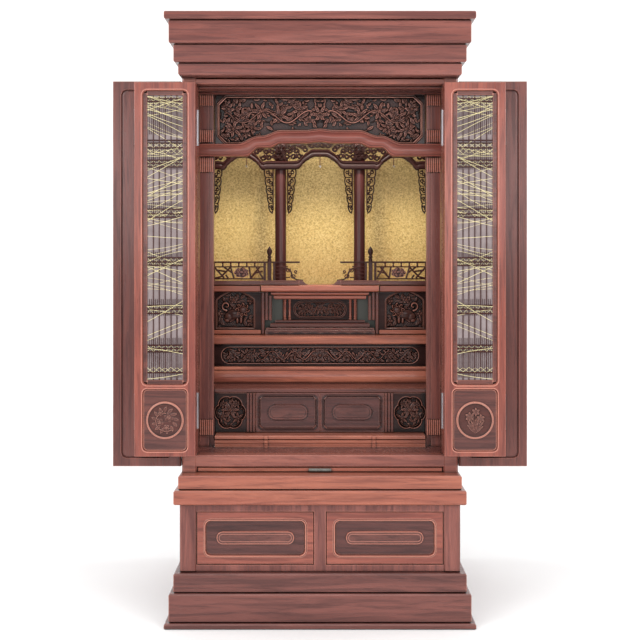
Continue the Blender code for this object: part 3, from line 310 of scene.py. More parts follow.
def makeGauze():
    # pale cloth: two crossing sets of fine threads over cloudy grey
    material, tree, shader = newMaterial("paleGauze")
    place = placeOn(tree)
    waves = [addNode(tree, "ShaderNodeTexWave", {"bands_direction": direction},
                     {"Vector": place, "Scale": 260.0, "Distortion": 0.6, "Detail": 1.0}).outputs["Fac"]
             for direction in "XZ"]
    weave = mathNode(tree, "MULTIPLY", mathNode(tree, "ADD", *waves), 0.5)
    base = mixColour(tree, noiseNode(tree, place, 30.0, 4.0), tone(104, 90, 90), tone(206, 192, 192))
    feed(tree, shader["Base Color"], mixColour(tree, weave, tone(92, 76, 76), base))
    feed(tree, shader["Roughness"], linearNode(tree, weave, 0.2, 0.6))
    addBump(tree, shader, weave, 0.4, 0.0003)
    return material


def makeMetal(name, light, dark, rough, metallic=1.0):
    # metal with fine brush lines
    material, tree, shader = newMaterial(name)
    drawn = addNode(tree, "ShaderNodeMapping", None, {"Vector": placeOn(tree), "Scale": (1.0, 1.0, 0.05)}).outputs[0]
    lines = noiseNode(tree, drawn, 400.0, 3.0)
    feed(tree, shader["Base Color"], mixColour(tree, lines, dark, light))
    shader["Metallic"].default_value = metallic
    feed(tree, shader["Roughness"], linearNode(tree, lines, 0.2, rough))
    return material


finishes = {"goldLeaf": makeGoldLeaf(), "paleGauze": makeGauze(), "slateCloth": makeSlate(),
            "silverSteel": makeMetal("silverSteel", tone(222, 222, 226), tone(150, 150, 156), 0.22),
            "shelfMetal": makeMetal("shelfMetal", tone(150, 152, 146), tone(74, 76, 72), 0.3),
            "goldThread": makeMetal("goldThread", tone(255, 247, 204), tone(236, 216, 146), 0.3, 0.2)}
for wood, (axis, tones, options) in woods.items():
    finishes[wood] = makeRosewood(wood, axis, tones, **options)
print("materials made")

# Which finish each carried-over node shows, by the start of its name
nodeFinish = {
    "warmWood": ("stand_cornice", "pull_out_shelf"), "baseWood": ("plinth",), "crownWood": ("crown",),
    "sideWood": ("cabinet_case",), "sillWood": ("front_frame",), "railWood": ("rainbow_beam",),
    "postWood": ("column_", "stand_case"), "doorWood": ("door_",), "leafWood": ("lattice_",),
    "drawerWood": ("stand_drawer_",), "innerWood": ("lower_drawer_", "altar_base", "lower_top"),
    "ledgeWood": ("lower_step", "altar_shelf"), "riserWood": ("riser", "altar_top"), "shelfMetal": ("shelf_pull",),
    "screenWood": ("arch_screen",), "darkWood": ("railing_",), "pillarWood": ("pillar_",),
    "carvedWood": ("frieze", "transom", "altar_waist", "altar_wing_", "lower_panel_"), "goldLeaf": ("gold_panels",),
    "paleGauze": ("grille_",), "silverSteel": ("hinge",),
}
for name, node in nodes.items():
    shown = [finish for finish, starts in nodeFinish.items() if name.startswith(starts)]
    node.data.materials.clear()
    node.data.materials.append(finishes[shown[0]])
print("nodes finished")

# Shapes worked out on grids

def gridFaces(rows, columns, closeRows=False, closeColumns=False):
    # quads over a grid of points stored row by row
    row = np.arange(rows if closeRows else rows - 1)
    column = np.arange(columns if closeColumns else columns - 1)
    i, j = np.meshgrid(row, column, indexing="ij")
    nextI, nextJ = (i + 1) % rows, (j + 1) % columns
    quads = np.stack([i * columns + j, i * columns + nextJ, nextI * columns + nextJ, nextI * columns + j], axis=-1)
    return quads.reshape(-1, 4).tolist()


def loftShape(loops, closed=False):
    # loops: an array (loops, points, 3); each loop joins the next, with flat ends unless closed
    loops = np.asarray(loops, float)
    count, size = loops.shape[:2]
    faces = gridFaces(count, size, closeRows=closed, closeColumns=True)
    if not closed:
        faces.append(list(range(size))[::-1])
        faces.append(list(range((count - 1) * size, count * size)))
    return loops.reshape(-1, 3), faces


def tubeShape(points, radius, sides=8, flat=1.0):
    # a rod along a path in a front view: each ring is turned square to the path; radius may vary along it
    points = np.asarray(points, float)
    ahead = np.gradient(points, axis=0)
    ahead /= np.maximum(np.linalg.norm(ahead, axis=1, keepdims=True), 1e-9)
    side = np.stack([-ahead[:, 2], np.zeros(len(points)), ahead[:, 0]], axis=1)
    side /= np.maximum(np.linalg.norm(side, axis=1, keepdims=True), 1e-9)
    deep = np.cross(ahead, side)
    angle = np.linspace(0.0, 2 * math.pi, sides, endpoint=False)
    radius = np.broadcast_to(np.asarray(radius, float), (len(points),))
    ring = (side[:, None, :] * np.cos(angle)[None, :, None] + flat * deep[:, None, :] * np.sin(angle)[None, :, None])
    return loftShape(points[:, None, :] + radius[:, None, None] * ring)


def turnedShape(profile, x, y, sides=24):
    # a lathe form: radius and height pairs spun about an upright axis
    profile = np.asarray(profile, float)
    angle = np.linspace(0.0, 2 * math.pi, sides, endpoint=False)
    radius, height = profile[:, 0:1], profile[:, 1:2]
    loops = np.stack([x + radius * np.cos(angle), y + radius * np.sin(angle), height + 0 * angle], axis=-1)
    return loftShape(loops)


def boxShape(x, y, z, ease=0.0008):
    # a board with eased edges: four level loops of eight points
    loops = []
    for height, pull in ((z[0], ease), (z[0] + ease, 0.0), (z[1] - ease, 0.0), (z[1], ease)):
        a, b, c, d = x[0] + pull, x[1] - pull, y[0] + pull, y[1] - pull
        loops.append([(a + ease, c, height), (b - ease, c, height), (b, c + ease, height), (b, d - ease, height),
                      (b - ease, d, height), (a + ease, d, height), (a, d - ease, height), (a, c + ease, height)])
    return loftShape(loops)


def bandShape(x, low, high, section):
    # a moulding between two edge curves: each section point is a depth y and a share of the height between them
    loops = np.stack([np.stack([x, np.full(x.shape, y), low + (high - low) * share], axis=-1) for y, share in section],
                     axis=1)
    return loftShape(loops)


def smoothEdge(heights, width):
    # a running average under a raised cosine of the given odd width
    kernel = np.hanning(width)
    return np.convolve(np.pad(heights, width // 2, mode="edge"), kernel / kernel.sum(), mode="valid")


def atDepth(flatPath, y):
    # the points of a front view stood up at a depth
    return np.stack([flatPath[:, 0], np.full(len(flatPath), y), flatPath[:, 1]], axis=1)


def curtainShape(x, low, high, near, far, ease=0.0008):
    # a board seen from the front between two edge curves: one eased section for each place along x
    section = [(near + ease, low), (near, low + ease), (near, high - ease), (near + ease, high),
               (far - ease, high), (far, high - ease), (far, low + ease), (far - ease, low)]
    loops = np.stack([np.stack([x, np.broadcast_to(y, x.shape), np.broadcast_to(z, x.shape)], axis=-1)
                      for y, z in section], axis=1)
    return loftShape(loops)


def reliefShape(xs, zs, front, rear):
    # a slab whose face is a grid of depths, closed by sides and a flat back
    rows, columns = front.shape
    faces = gridFaces(rows, columns)
    index = np.arange(rows * columns).reshape(rows, columns)
    rim = np.concatenate([index[0, :], index[1:, -1], index[-1, -2::-1], index[-2:0:-1, 0]])
    points = np.stack([xs, front, zs], axis=-1).reshape(-1, 3)
    behind = points[rim].copy()
    behind[:, 1] = rear
    step = np.arange(len(rim))
    after = (step + 1) % len(rim)
    start = rows * columns
    faces += np.stack([rim, start + step, start + after, rim[after]], axis=1).tolist()
    faces.append((start + step).tolist()[::-1])
    return np.concatenate([points, behind]), faces


sharpAngle = math.radians(38.0)


def addPiece(name, shapes, body, material, replaced=(), mirror=False):
    # join shapes into one piece; mirror gives its twin on the cabinet's other side
    points, faces, start = [], [], 0
    for shapePoints, shapeFaces in shapes:
        points.append(shapePoints)
        faces += [[v + start for v in face] for face in shapeFaces]
        start += len(shapePoints)
    points = np.concatenate(points)
    if mirror:
        points = points * np.array([-1.0, 1.0, 1.0])
    mesh = bpy.data.meshes.new(name)
    mesh.from_pydata(points.tolist(), [], faces)
    shape = bmesh.new()
    shape.from_mesh(mesh)
    bmesh.ops.recalc_face_normals(shape, faces=shape.faces)
    shape.to_mesh(mesh)
    shape.free()
    mesh.shade_smooth()
    mesh.set_sharp_from_angle(angle=sharpAngle)
    made = bpy.data.objects.new(name, mesh)
    bpy.context.scene.collection.objects.link(made)
    mesh.materials.append(finishes[material])
    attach(made, body)
    if replaced:
        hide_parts(*replaced)


def addPairs(pieces, body="cabinet", ending=""):
    # each piece on the right, then its mirror image on the left; {} in a body or node stands for the side
    for side in ("Right", "Left"):
        for name, shapes, material, slotName, *replaced in pieces:
            addPiece(name + side + ending, shapes, body.format(side.lower()), material,
                     [node.format(side.lower()) for node in replaced], side == "Left")

# Carving: each form gives a rise over the whole grid, and the highest form wins

def segmentDistance(x, z, start, end):
    # from each place to the nearest point of a straight piece of line
    dx, dz = end[0] - start[0], end[1] - start[1]
    share = np.clip(((x - start[0]) * dx + (z - start[1]) * dz) / max(dx * dx + dz * dz, 1e-12), 0.0, 1.0)
    return np.hypot(x - start[0] - share * dx, z - start[1] - share * dz)


def outlineDistance(x, z, outline):
    # distance to a closed outline, positive inside: nearest edge, signed by the crossing count
    nearest = np.full(x.shape, 1e9)
    inside = np.zeros(x.shape, bool)
    corners = np.asarray(outline, float)
    for start, end in zip(corners, np.roll(corners, -1, axis=0)):
        nearest = np.minimum(nearest, segmentDistance(x, z, start, end))
        (ax, az), (dx, dz) = start, end - start
        crosses = (az > z) != (end[1] > z)
        inside ^= crosses & (x < ax + (z - az) * dx / (dz if abs(dz) > 1e-12 else 1e-12))
    return np.where(inside, nearest, -nearest)


def leafRise(x, z, place, angle, length, width):
    # a pointed leaf: a domed blade with a sunk middle vein and slanting side veins
    c, s = math.cos(angle), math.sin(angle)
    u = ((x - place[0]) * c + (z - place[1]) * s) / length
    v = (-(x - place[0]) * s + (z - place[1]) * c)
    half = width * np.sin(math.pi * np.clip(u, 0.0, 1.0)) ** 0.75 + 1e-9
    across = np.abs(v) / half
    blade = np.sqrt(np.clip(1 - across ** 2, 0.0, 1.0)) * (0.75 + 0.25 * np.clip(u, 0.0, 1.0))
    vein = 0.22 * np.exp(-(v / (0.10 * width)) ** 2) + 0.10 * np.maximum(0.0, np.sin(26 * u - 9 * across))
    return np.where((u > 0) & (u < 1) & (across < 1), blade - vein, 0.0)


def blossomRise(x, z, place, radius, petals, turn=0.0):
    # an open flower: two rings of cupped petals round a beaded heart
    r = np.hypot(x - place[0], z - place[1]) / radius
    angle = np.arctan2(z - place[1], x - place[0]) + turn
    outerEdge = 0.80 + 0.20 * np.abs(np.cos(petals * angle / 2))
    innerEdge = 0.52 * (0.80 + 0.20 * np.abs(np.sin(petals * angle / 2)))
    outer = 0.72 * np.clip(1 - (r / outerEdge) ** 6, 0, 1) * (0.55 + 0.45 * np.abs(np.cos(petals * angle / 2)))
    outer *= 0.6 + 0.4 * np.clip(r / outerEdge, 0, 1)
    inner = 0.92 * np.clip(1 - (r / innerEdge) ** 6, 0, 1) * (0.6 + 0.4 * np.abs(np.sin(petals * angle / 2)))
    heart = np.sqrt(np.clip(1 - (r / 0.2) ** 2, 0, 1))
    return np.maximum(np.maximum(outer, inner), heart)


def vineRise(x, z, path, radius):
    # a round stem along a path of points, thinning towards its end
    path = np.asarray(path, float)
    best = np.zeros(x.shape)
    for start, end, width in zip(path[:-1], path[1:], np.linspace(1.0, 0.55, len(path) - 1) * radius):
        gone = segmentDistance(x, z, start, end) / width
        best = np.maximum(best, np.sqrt(np.clip(1 - gone ** 2, 0.0, 1.0)))
    return best


def scrollPath(place, radius, start, turns, count=26, tighten=0.12):
    # a spiral: the radius shrinks to a share of itself as the angle runs on
    share = np.linspace(0.0, 1.0, count)
    angle = start + 2 * math.pi * turns * share
    reach = radius * (1 - (1 - tighten) * share)
    return np.stack([place[0] + reach * np.cos(angle), place[1] + reach * np.sin(angle)], axis=1)


def stamp(rise, x, z, place, reach, form):
    # work a form out only near its place, and keep the higher of the two
    columns = np.nonzero(np.abs(x[0] - place[0]) <= reach)[0]
    rows = np.nonzero(np.abs(z[:, 0] - place[1]) <= reach)[0]
    if len(columns) and len(rows):
        window = np.s_[rows[0]:rows[-1] + 1, columns[0]:columns[-1] + 1]
        rise[window] = np.maximum(rise[window], form(x[window], z[window]))


def mouldedFace(inset, lines):
    # a board's face near an opening: small round beads at given distances out from its edge
    rise = np.zeros(inset.shape)
    for place, width, height in lines:
        rise = np.maximum(rise, height * np.sqrt(np.clip(1 - ((-inset - place) / width) ** 2, 0, 1)))
    return rise


def carvedSlab(plan, outline, carving, lines, proud=0.0, under=None):
    # a board with a shaped opening; inside it the ground lies back and the carving stands on it.
    # under gives the height of the lower edge at each x, where the board isn't cut straight
    xRange, zRange, cell, sunk = plan["x"], plan["z"], plan["cell"], plan["sunk"]
    xs = np.linspace(*xRange, int((xRange[1] - xRange[0]) / cell) + 1)
    zs = np.linspace(*zRange, int((zRange[1] - zRange[0]) / cell) + 1)
    x, z = np.meshgrid(xs, zs)
    if under is not None:
        foot = np.maximum(under(x), zRange[0])
        z = foot + (z - zRange[0]) / (zRange[1] - zRange[0]) * (zRange[1] - foot)
    inset = outlineDistance(x, z, outline)
    rise = carving(x, z) * np.clip(inset / 0.002, 0.0, 1.0)
    depth = np.clip(inset / 0.0012, 0.0, 1.0) * (sunk - rise * (sunk + proud)) - mouldedFace(inset, lines)
    edge = np.minimum(np.minimum(x - xs[0], xs[-1] - x), np.minimum(z - z[0], z[-1] - z))
    depth = depth + 0.0006 * (1 - np.clip(edge / 0.0012, 0, 1)) ** 2
    return reliefShape(x, z, plan["face"] + depth, plan["rear"])

# Transom over the rainbow beam

transomPlan = {"x": (-0.2435, 0.2435), "z": (1.0318, 1.1742), "face": -0.082, "rear": -0.072, "halfOpening": 0.2325,
               "cut": 0.017, "top": 1.1637, "bottom": 1.0608, "cell": 0.00105, "seed": 11, "sunk": 0.0075,
               "leaves": 760, "leafSize": 0.0145}
transomFlowers = ((0.0, 1.126, 0.0135, 6), (0.048, 1.136, 0.012, 5), (0.093, 1.122, 0.0135, 6),
                  (0.137, 1.134, 0.0125, 5), (0.178, 1.118, 0.0135, 6), (0.212, 1.138, 0.010, 5),
                  (0.200, 1.092, 0.012, 6), (0.158, 1.096, 0.0105, 5), (0.070, 1.108, 0.009, 5),
                  (0.024, 1.108, 0.009, 5))


def smoothStep(t):
    t = np.clip(t, 0.0, 1.0)
    return t * t * (3 - 2 * t)


def beamOver(x):
    # rise of the rainbow beam's top edge over its flat ends
    a = np.abs(x)
    return (0.0155 * smoothStep((0.188 - a) / 0.045) + 0.0133 * smoothStep((0.135 - a) / 0.045)
            + 0.0034 * np.maximum(0.0, 1 - a / 0.028))


def beamUnder(x):
    # rise of its underside, which steps up in two cusps
    a = np.abs(x)
    return (0.020 * smoothStep((0.168 - a) / 0.026) + 0.010 * smoothStep((0.116 - a) / 0.026)
            + 0.0034 * np.maximum(0.0, 1 - a / 0.028))


def leafBlossomCarving(x, z, plan, flowers, bottom, corner, vines=()):
    # crowded leaves thrown over the ground, from its bottom to its right upper corner and mirrored to the left,
    # then stems, then blossoms standing on top of them, each a place, a radius and a number of petals
    draw = np.random.default_rng(plan["seed"])
    rise = 0.05 + 0.012 * np.sin(x * 900.0 + 3 * np.sin(z * 700.0))
    for k in range(plan["leaves"] // 2):
        px, pz = draw.uniform(0.0, corner[0]), draw.uniform(bottom, corner[1])
        angle, length = draw.uniform(0, 2 * math.pi), plan["leafSize"] * draw.uniform(0.7, 1.3)
        lift = draw.uniform(0.45, 0.82)
        for sign in (1, -1):
            turned = angle if sign > 0 else math.pi - angle
            stamp(rise, x, z, (sign * px, pz), length,
                  lambda a, b: lift * leafRise(a, b, (sign * px, pz), turned, length, length * 0.27))
    for path, radius in vines:
        rise = np.maximum(rise, 0.8 * vineRise(x, z, path, radius))
    for k, (px, pz, size, petals) in enumerate(flowers):
        for sign in ((1, -1) if px else (1,)):
            for n in range(6):
                angle = n * math.pi / 3 + 0.4 * k
                stamp(rise, x, z, (sign * px, pz), 2.4 * size,
                      lambda a, b: 0.78 * leafRise(a, b, (sign * px, pz), angle, 1.75 * size, 0.42 * size))
            stamp(rise, x, z, (sign * px, pz), size,
                  lambda a, b: blossomRise(a, b, (sign * px, pz), 0.95 * size, petals, 0.5 * k))
    return rise


def wavyVines(first, last, count, middle, swing, waves, radius):
    # a stem on each side whose height is a sine of the distance from the middle
    u = np.linspace(first, last, count)
    return [(np.stack([sign * u, middle + swing * np.sin(u * waves)], axis=1), radius) for sign in (1, -1)]


def addRelief(name, node, wood, plan, outline, flowers, vines, bottom, corner, lines, proud=0.0, under=None):
    # a board of leaves and flowers that stands for one carved node
    slab = carvedSlab(plan, outline, lambda x, z: leafBlossomCarving(x, z, plan, flowers, bottom, corner, vines),
                      lines, proud, under)
    addPiece(name, [slab], "cabinet", wood, [node])


def makeTransom():
    plan = transomPlan
    half, cut, top, bottom = plan["halfOpening"], plan["cut"], plan["top"], plan["bottom"]
    along = np.linspace(-0.196, 0.196, 60)
    lower = np.stack([along, bottom + beamOver(along)], axis=1).tolist()
    outline = ([(half, top - cut), (half - cut, top), (cut - half, top), (-half, top - cut), (-half, bottom + cut),
                (cut - half, bottom)] + lower + [(half - cut, bottom), (half, bottom + cut)])
    vines = wavyVines(0.02, 0.222, 40, 1.120, 0.014, 62, 0.0022)
    addRelief("transomCarving", "transom", "carvedWood", plan, outline, transomFlowers, vines, bottom, (half, top),
              ((0.0018, 0.0010, 0.0010), (0.0052, 0.0013, 0.0013)), 0.0012, lambda x: 1.0378 + beamUnder(x))


makeTransom()

# Frieze: leaves and blossoms on a wandering stem, either side of a flower

friezePlan = {"x": (-cabinetPlan["innerHalf"], cabinetPlan["innerHalf"]), "z": (0.5306, 0.5845), "face": 0.042,
              "rear": 0.051, "half": 0.239, "inset": (0.0075, 0.0085), "cell": 0.0009, "sunk": 0.0050, "seed": 12,
              "leaves": 300, "leafSize": 0.0150}


def stadium(half, low, high, steps=12):
    # an outline with straight sides and round ends
    radius = (high - low) / 2
    right = np.linspace(-math.pi / 2, math.pi / 2, steps)
    ends = [(half - radius + radius * math.cos(a), low + radius + radius * math.sin(a)) for a in right]
    return ends + [(-x, 2 * (low + radius) - z) for x, z in ends]


def makeFrieze():
    plan = friezePlan
    low, high = plan["z"][0] + plan["inset"][0], plan["z"][1] - plan["inset"][1]
    middle = (low + high) / 2
    flowers = [(0.0, middle, 0.0125, 8), (0.060, middle + 0.003, 0.0088, 6), (0.112, middle - 0.003, 0.0088, 5),
               (0.163, middle + 0.003, 0.0080, 6), (0.208, middle - 0.001, 0.0080, 5)]
    vines = wavyVines(0.012, plan["half"] - 0.010, 70, middle, 0.55 * (high - low) / 2, 122, 0.0019)
    addRelief("friezeCarving", "frieze", "shadedCarvedWood", plan, stadium(plan["half"], low, high), flowers, vines, low,
              (plan["half"], high), ((0.0016, 0.0006, 0.0005),))


makeFrieze()

# Altar waist: a framed cartouche of flowers and leaves, between colonnettes

waistPlan = {"x": (-0.0928, 0.0928), "z": (0.6390, 0.6908), "face": 0.1245, "rear": 0.1545, "cell": 0.0006,
             "sunk": 0.0042, "slotHalf": 0.062, "slotInset": 0.0082, "columns": (0.0762, 0.0880), "seed": 4,
             "leaves": 150, "leafSize": 0.0095}


def ringedColumn(x, y, low, high, radius):
    # a colonnette: a round shaft with a ring near each end
    tall = high - low
    shares = np.array([0.0, 0.02, 0.06, 0.10, 0.13, 0.17, 0.22, 0.5, 0.78, 0.83, 0.87, 0.90, 0.94, 0.98, 1.0])
    widths = np.array([1.15, 1.2, 1.15, 0.8, 1.05, 1.05, 0.8, 0.9, 0.8, 1.05, 1.05, 0.8, 1.15, 1.2, 1.15])
    return turnedShape(np.stack([radius * widths, low + tall * shares], axis=1), x, y, 14)


def makeWaist():
    plan = waistPlan
    low, high = plan["z"][0] + plan["slotInset"], plan["z"][1] - plan["slotInset"]
    middle = (low + high) / 2
    flowers = [(0.0, middle, 0.0090, 6), (0.0210, middle - 0.001, 0.0078, 5), (0.0410, middle + 0.001, 0.0078, 6)]
    vines = wavyVines(0.004, plan["slotHalf"] - 0.006, 40, middle, 0.50 * (high - low) / 2, 300, 0.0013)
    addRelief("waistCartouche", "altar_waist", "shadedCarvedWood", plan, stadium(plan["slotHalf"], low, high), flowers, vines,
              low, (plan["slotHalf"], high), ((0.0042, 0.0007, 0.0008),))
    shafts = [ringedColumn(sign * x, plan["face"] + 0.0005, plan["z"][0] + 0.0003, plan["z"][1] - 0.0003, 0.0034)
              for sign in (1, -1) for x in plan["columns"]]
    addPiece("waistColonnettes", shafts, "cabinet", "ledgeWood")


makeWaist()

# Altar wings: an arched niche with a beast among flowers, three ribs beside it and a board over it

wingPlan = {"x": (0.119, 0.2865), "z": (0.6044, 0.7108), "face": 0.097, "rear": 0.109, "cell": 0.0008,
            "sunk": 0.0070, "ribZone": 0.028, "rearTop": 0.235, "altarHalf": 0.1458, "baseHalf": 0.1366,
            "baseTop": 0.6392, "seed": 5}


def nicheOutline(low, high, foot, spring, rise=0.014, peak=0.016):
    # straight sides, then a round arch that comes to a point
    middle, half = (low + high) / 2, (high - low) / 2
    angle = np.linspace(0.0, math.pi, 25)
    ogee = peak * np.clip(1 - np.abs(angle - math.pi / 2) / (math.pi / 2), 0, 1) ** 2
    arch = np.stack([middle + half * np.cos(angle), spring + rise * np.sin(angle) ** 0.8 + ogee], axis=1)
    return [(low, foot), (high, foot)] + arch.tolist()


# The beast's haunch, shoulder, head, legs and paw: centre, half sizes and rise, in shares of the niche's half width
beastForms = ((0.05, -0.18, 0.52, 0.30, 0.92), (0.38, -0.30, 0.24, 0.26, 0.95), (-0.38, 0.05, 0.26, 0.26, 1.0),
              (-0.30, -0.46, 0.10, 0.26, 0.9), (0.46, -0.50, 0.16, 0.14, 0.9), (-0.10, -0.50, 0.09, 0.22, 0.8))


def beastCarving(x, z, centre, size, seed):
    # a crouching beast with a curled mane and tail, set among blossoms; its face is turned away and plain
    draw = np.random.default_rng(seed)
    rise = 0.10 + 0.04 * np.sin(x * 1000.0) * np.sin(z * 900.0)
    for k in range(70):
        place = (centre[0] + draw.uniform(-1.2, 1.2) * size, centre[1] + draw.uniform(-1.0, 1.1) * size)
        angle, length = draw.uniform(0, 2 * math.pi), size * draw.uniform(0.25, 0.45)
        lift = draw.uniform(0.3, 0.6)
        stamp(rise, x, z, place, length, lambda a, b: lift * leafRise(a, b, place, angle, length, 0.3 * length))

    def dome(px, pz, rx, rz, lift):
        gone = ((x - centre[0] - px * size) / (rx * size)) ** 2 + ((z - centre[1] - pz * size) / (rz * size)) ** 2
        return lift * np.sqrt(np.clip(1 - gone, 0, 1))

    for form in beastForms:
        rise = np.maximum(rise, dome(*form))
    for k in range(8):
        angle = 2 * math.pi * k / 8
        place = (centre[0] + size * (-0.38 + 0.27 * math.cos(angle)),
                 centre[1] + size * (0.05 + 0.27 * math.sin(angle)))
        curl = scrollPath(place, 0.11 * size, angle, 1.2, 16, 0.2)
        stamp(rise, x, z, place, 0.2 * size, lambda a, b: 0.96 * vineRise(a, b, curl, 0.045 * size))
    tail = scrollPath((centre[0] + 0.50 * size, centre[1] + 0.28 * size), 0.26 * size, -math.pi / 2, 1.1, 26, 0.15)
    rise = np.maximum(rise, 0.95 * vineRise(x, z, tail, 0.075 * size))
    for px, pz, petals in ((-0.85, -0.55, 5), (0.92, -0.15, 6), (0.1, 0.62, 6), (-0.85, 0.55, 5)):
        place = (centre[0] + px * size, centre[1] + pz * size)
        stamp(rise, x, z, place, 0.3 * size, lambda a, b: 0.85 * blossomRise(a, b, place, 0.24 * size, petals))
    return rise


def makeWings():
    plan = wingPlan
    (low, high), (bottom, top), face = plan["x"], plan["z"], plan["face"]
    foot, spring = bottom + 0.017, top - 0.026
    niche = (low + plan["ribZone"] + 0.018, high - 0.031)
    centre = ((niche[0] + niche[1]) / 2, (foot + spring + 0.018) / 2)
    slab = carvedSlab({**plan, "x": (plan["altarHalf"] - 0.0010, high), "z": (bottom, top - 0.0006)},
                      nicheOutline(*niche, foot, spring),
                      lambda x, z: beastCarving(x, z, centre, (niche[1] - niche[0]) / 2, plan["seed"]),
                      ((0.0030, 0.0008, 0.0009),))
    boards = [boxShape((plan["altarHalf"] + 0.0004, high - 0.0002), (face - 0.006, plan["rearTop"]),
                       (top - 0.0008, cabinetPlan["altarTop"]), 0.0022),
              boxShape((low + plan["ribZone"], high - 0.0004), (face - 0.004, face + 0.004),
                       (bottom + 0.0003, bottom + 0.011), 0.0012)]
    ribs = []
    for left in low + 0.0012 + 0.009 * np.arange(3):
        ribFoot = plan["baseTop"] if left < plan["baseHalf"] else bottom + 0.0006
        ribTop = 0.7008 if left < 0.1228 else 0.7100      # the first rib stops under the altar's edge
        ribs.append(boxShape((left, left + 0.0072), (face - 0.003, face + 0.011), (ribFoot, ribTop), 0.0016))
    addPairs([("wingNiche", [slab], "shadedCarvedWood", "carved_wood", "altar_wing_{}"),
              ("wingBoards", boards, "ledgeWood", "rosewood"),
              ("wingRibs", ribs, "innerWood", "rosewood")])


makeWings()

# Lower panels: a cloud-shaped medallion beside three ribs

lowerPlan = {"x": (0.1498, cabinetPlan["innerHalf"]), "z": (0.3881, 0.4805), "face": -0.0695, "rear": -0.0575,
             "drawerHalf": 0.1495, "ribWidth": 0.021, "cell": 0.0007, "sunk": 0.0050, "inner": 0.2455, "seed": 3,
             "leaves": 420, "leafSize": 0.012}


def cloudOutline(centre, halfWidth, halfHeight, lobes=6):
    # an ellipse that bulges out in lobes
    angle = np.linspace(0, 2 * math.pi, lobes * 14, endpoint=False)
    bulge = 0.86 + 0.14 * np.abs(np.cos(lobes * angle / 2)) ** 0.7
    return np.stack([centre[0] + halfWidth * bulge * np.cos(angle), centre[1] + halfHeight * bulge * np.sin(angle)],
                    axis=1).tolist()


def makeLowerPanels():
    plan = lowerPlan
    bottom, top = plan["z"]
    left, right = plan["drawerHalf"] + plan["ribWidth"] + 0.002, plan["inner"]
    centre = ((left + right) / 2, (bottom + top) / 2)
    halfWidth, halfHeight = (right - left) / 2 - 0.001, (top - bottom) / 2 - 0.008
    flowers = [(centre[0] + dx, centre[1] + dz, size, petals) for dx, dz, size, petals in
               ((0.0, 0.006, 0.012, 6), (-0.018, -0.014, 0.0085, 5), (0.019, -0.010, 0.0085, 5),
                (-0.016, 0.020, 0.007, 5), (0.017, 0.019, 0.007, 5))]
    ring = cloudOutline(centre, halfWidth - 0.0045, halfHeight - 0.0045)

    def carving(x, z):
        rise = leafBlossomCarving(x, z, plan, flowers, centre[1] - halfHeight, (right, centre[1] + halfHeight))
        inside = outlineDistance(x, z, ring)
        return np.maximum(rise * (inside > 0.0006), 0.75 * np.exp(-((inside + 0.0004) / 0.0009) ** 2))

    slab = carvedSlab(plan, cloudOutline(centre, halfWidth, halfHeight), carving, ((0.0014, 0.0008, 0.0009),))
    pitch = plan["ribWidth"] / 3
    ribs = [boxShape((low, low + pitch - 0.0010), (plan["face"] - 0.0025, plan["face"] + 0.004),
                     (bottom + 0.0004, top - 0.0004), 0.0016)
            for low in plan["drawerHalf"] + 0.001 + pitch * np.arange(3)]
    addPairs([("lowerMedallion", [slab], "shadedCarvedWood", "carved_wood", "lower_panel_{}"),
              ("lowerRibs", ribs, "innerWood", "rosewood")])


makeLowerPanels()
print("carved panels made")

# Lattice leaves: a bead round the window, gauze behind bars and crossing gold threads, and a flower medallion

leafPlan = {"beadRadius": 0.0013, "margin": 0.0090, "barRadius": 0.0011, "bars": 5, "fineRadius": 0.0006,
            "fineBars": 17, "slatRadius": 0.0017, "threadRadius": 0.00046, "longThreads": 34,
            "fineThreadRadius": 0.00034, "fineThreads": 30, "seeds": (21, 22, 30), "medallionCell": 0.00042,
            "medallionSides": 210, "sunk": 0.0042}
# Heights of the dark slats, of the bands with finer bars between them, and of the rows of zigzag threads
slatHeights = (1.137, 1.131, 1.047, 1.041, 1.031, 1.004, 0.997, 0.990, 0.898, 0.888, 0.881, 0.793, 0.784, 0.777, 0.690,
               0.682, 0.673, 0.604, 0.597, 0.590, 0.545)
fineBands = ((1.060, 1.140), (0.984, 1.034), (0.878, 0.912), (0.774, 0.806), (0.668, 0.704), (0.534, 0.620))
zigzagRows = ((1.131, 1.142), (1.118, 1.130), (1.031, 1.041), (1.018, 1.029), (0.990, 1.003), (0.881, 0.897),
              (0.777, 0.793), (0.673, 0.690), (0.590, 0.604), (0.546, 0.556))
leafSides = (("fold", 1), ("hung", -1))      # each right leaf, and the way its face looks into the leaf along y


def roundedPath(x0, x1, z0, z1, radius, steps=8):
    # a closed path round a rectangle with arcs for corners
    points = []
    left, right, bottom, top = x0 + radius, x1 - radius, z0 + radius, z1 - radius
    for quarter, (cx, cz) in enumerate(((right, top), (left, top), (left, bottom), (right, bottom))):
        turn = (quarter + np.linspace(0, 1, steps)) * math.pi / 2
        points.append(np.stack([cx + radius * np.cos(turn), cz + radius * np.sin(turn)], axis=1))
    return np.concatenate(points)


def closedTube(flatPath, y, radius, sides=8):
    # a bead: a round section carried round a closed path in a front view
    ahead = np.roll(flatPath, -1, axis=0) - np.roll(flatPath, 1, axis=0)
    ahead /= np.maximum(np.linalg.norm(ahead, axis=1, keepdims=True), 1e-9)
    side = np.stack([-ahead[:, 1], ahead[:, 0]], axis=1)
    angle = np.linspace(0, 2 * math.pi, sides, endpoint=False)
    x = flatPath[:, 0:1] + radius * side[:, 0:1] * np.cos(angle)
    z = flatPath[:, 1:2] + radius * side[:, 1:2] * np.cos(angle)
    loops = np.stack([x, y + radius * np.sin(angle) + 0 * x, z], axis=-1)
    return loftShape(loops, closed=True)


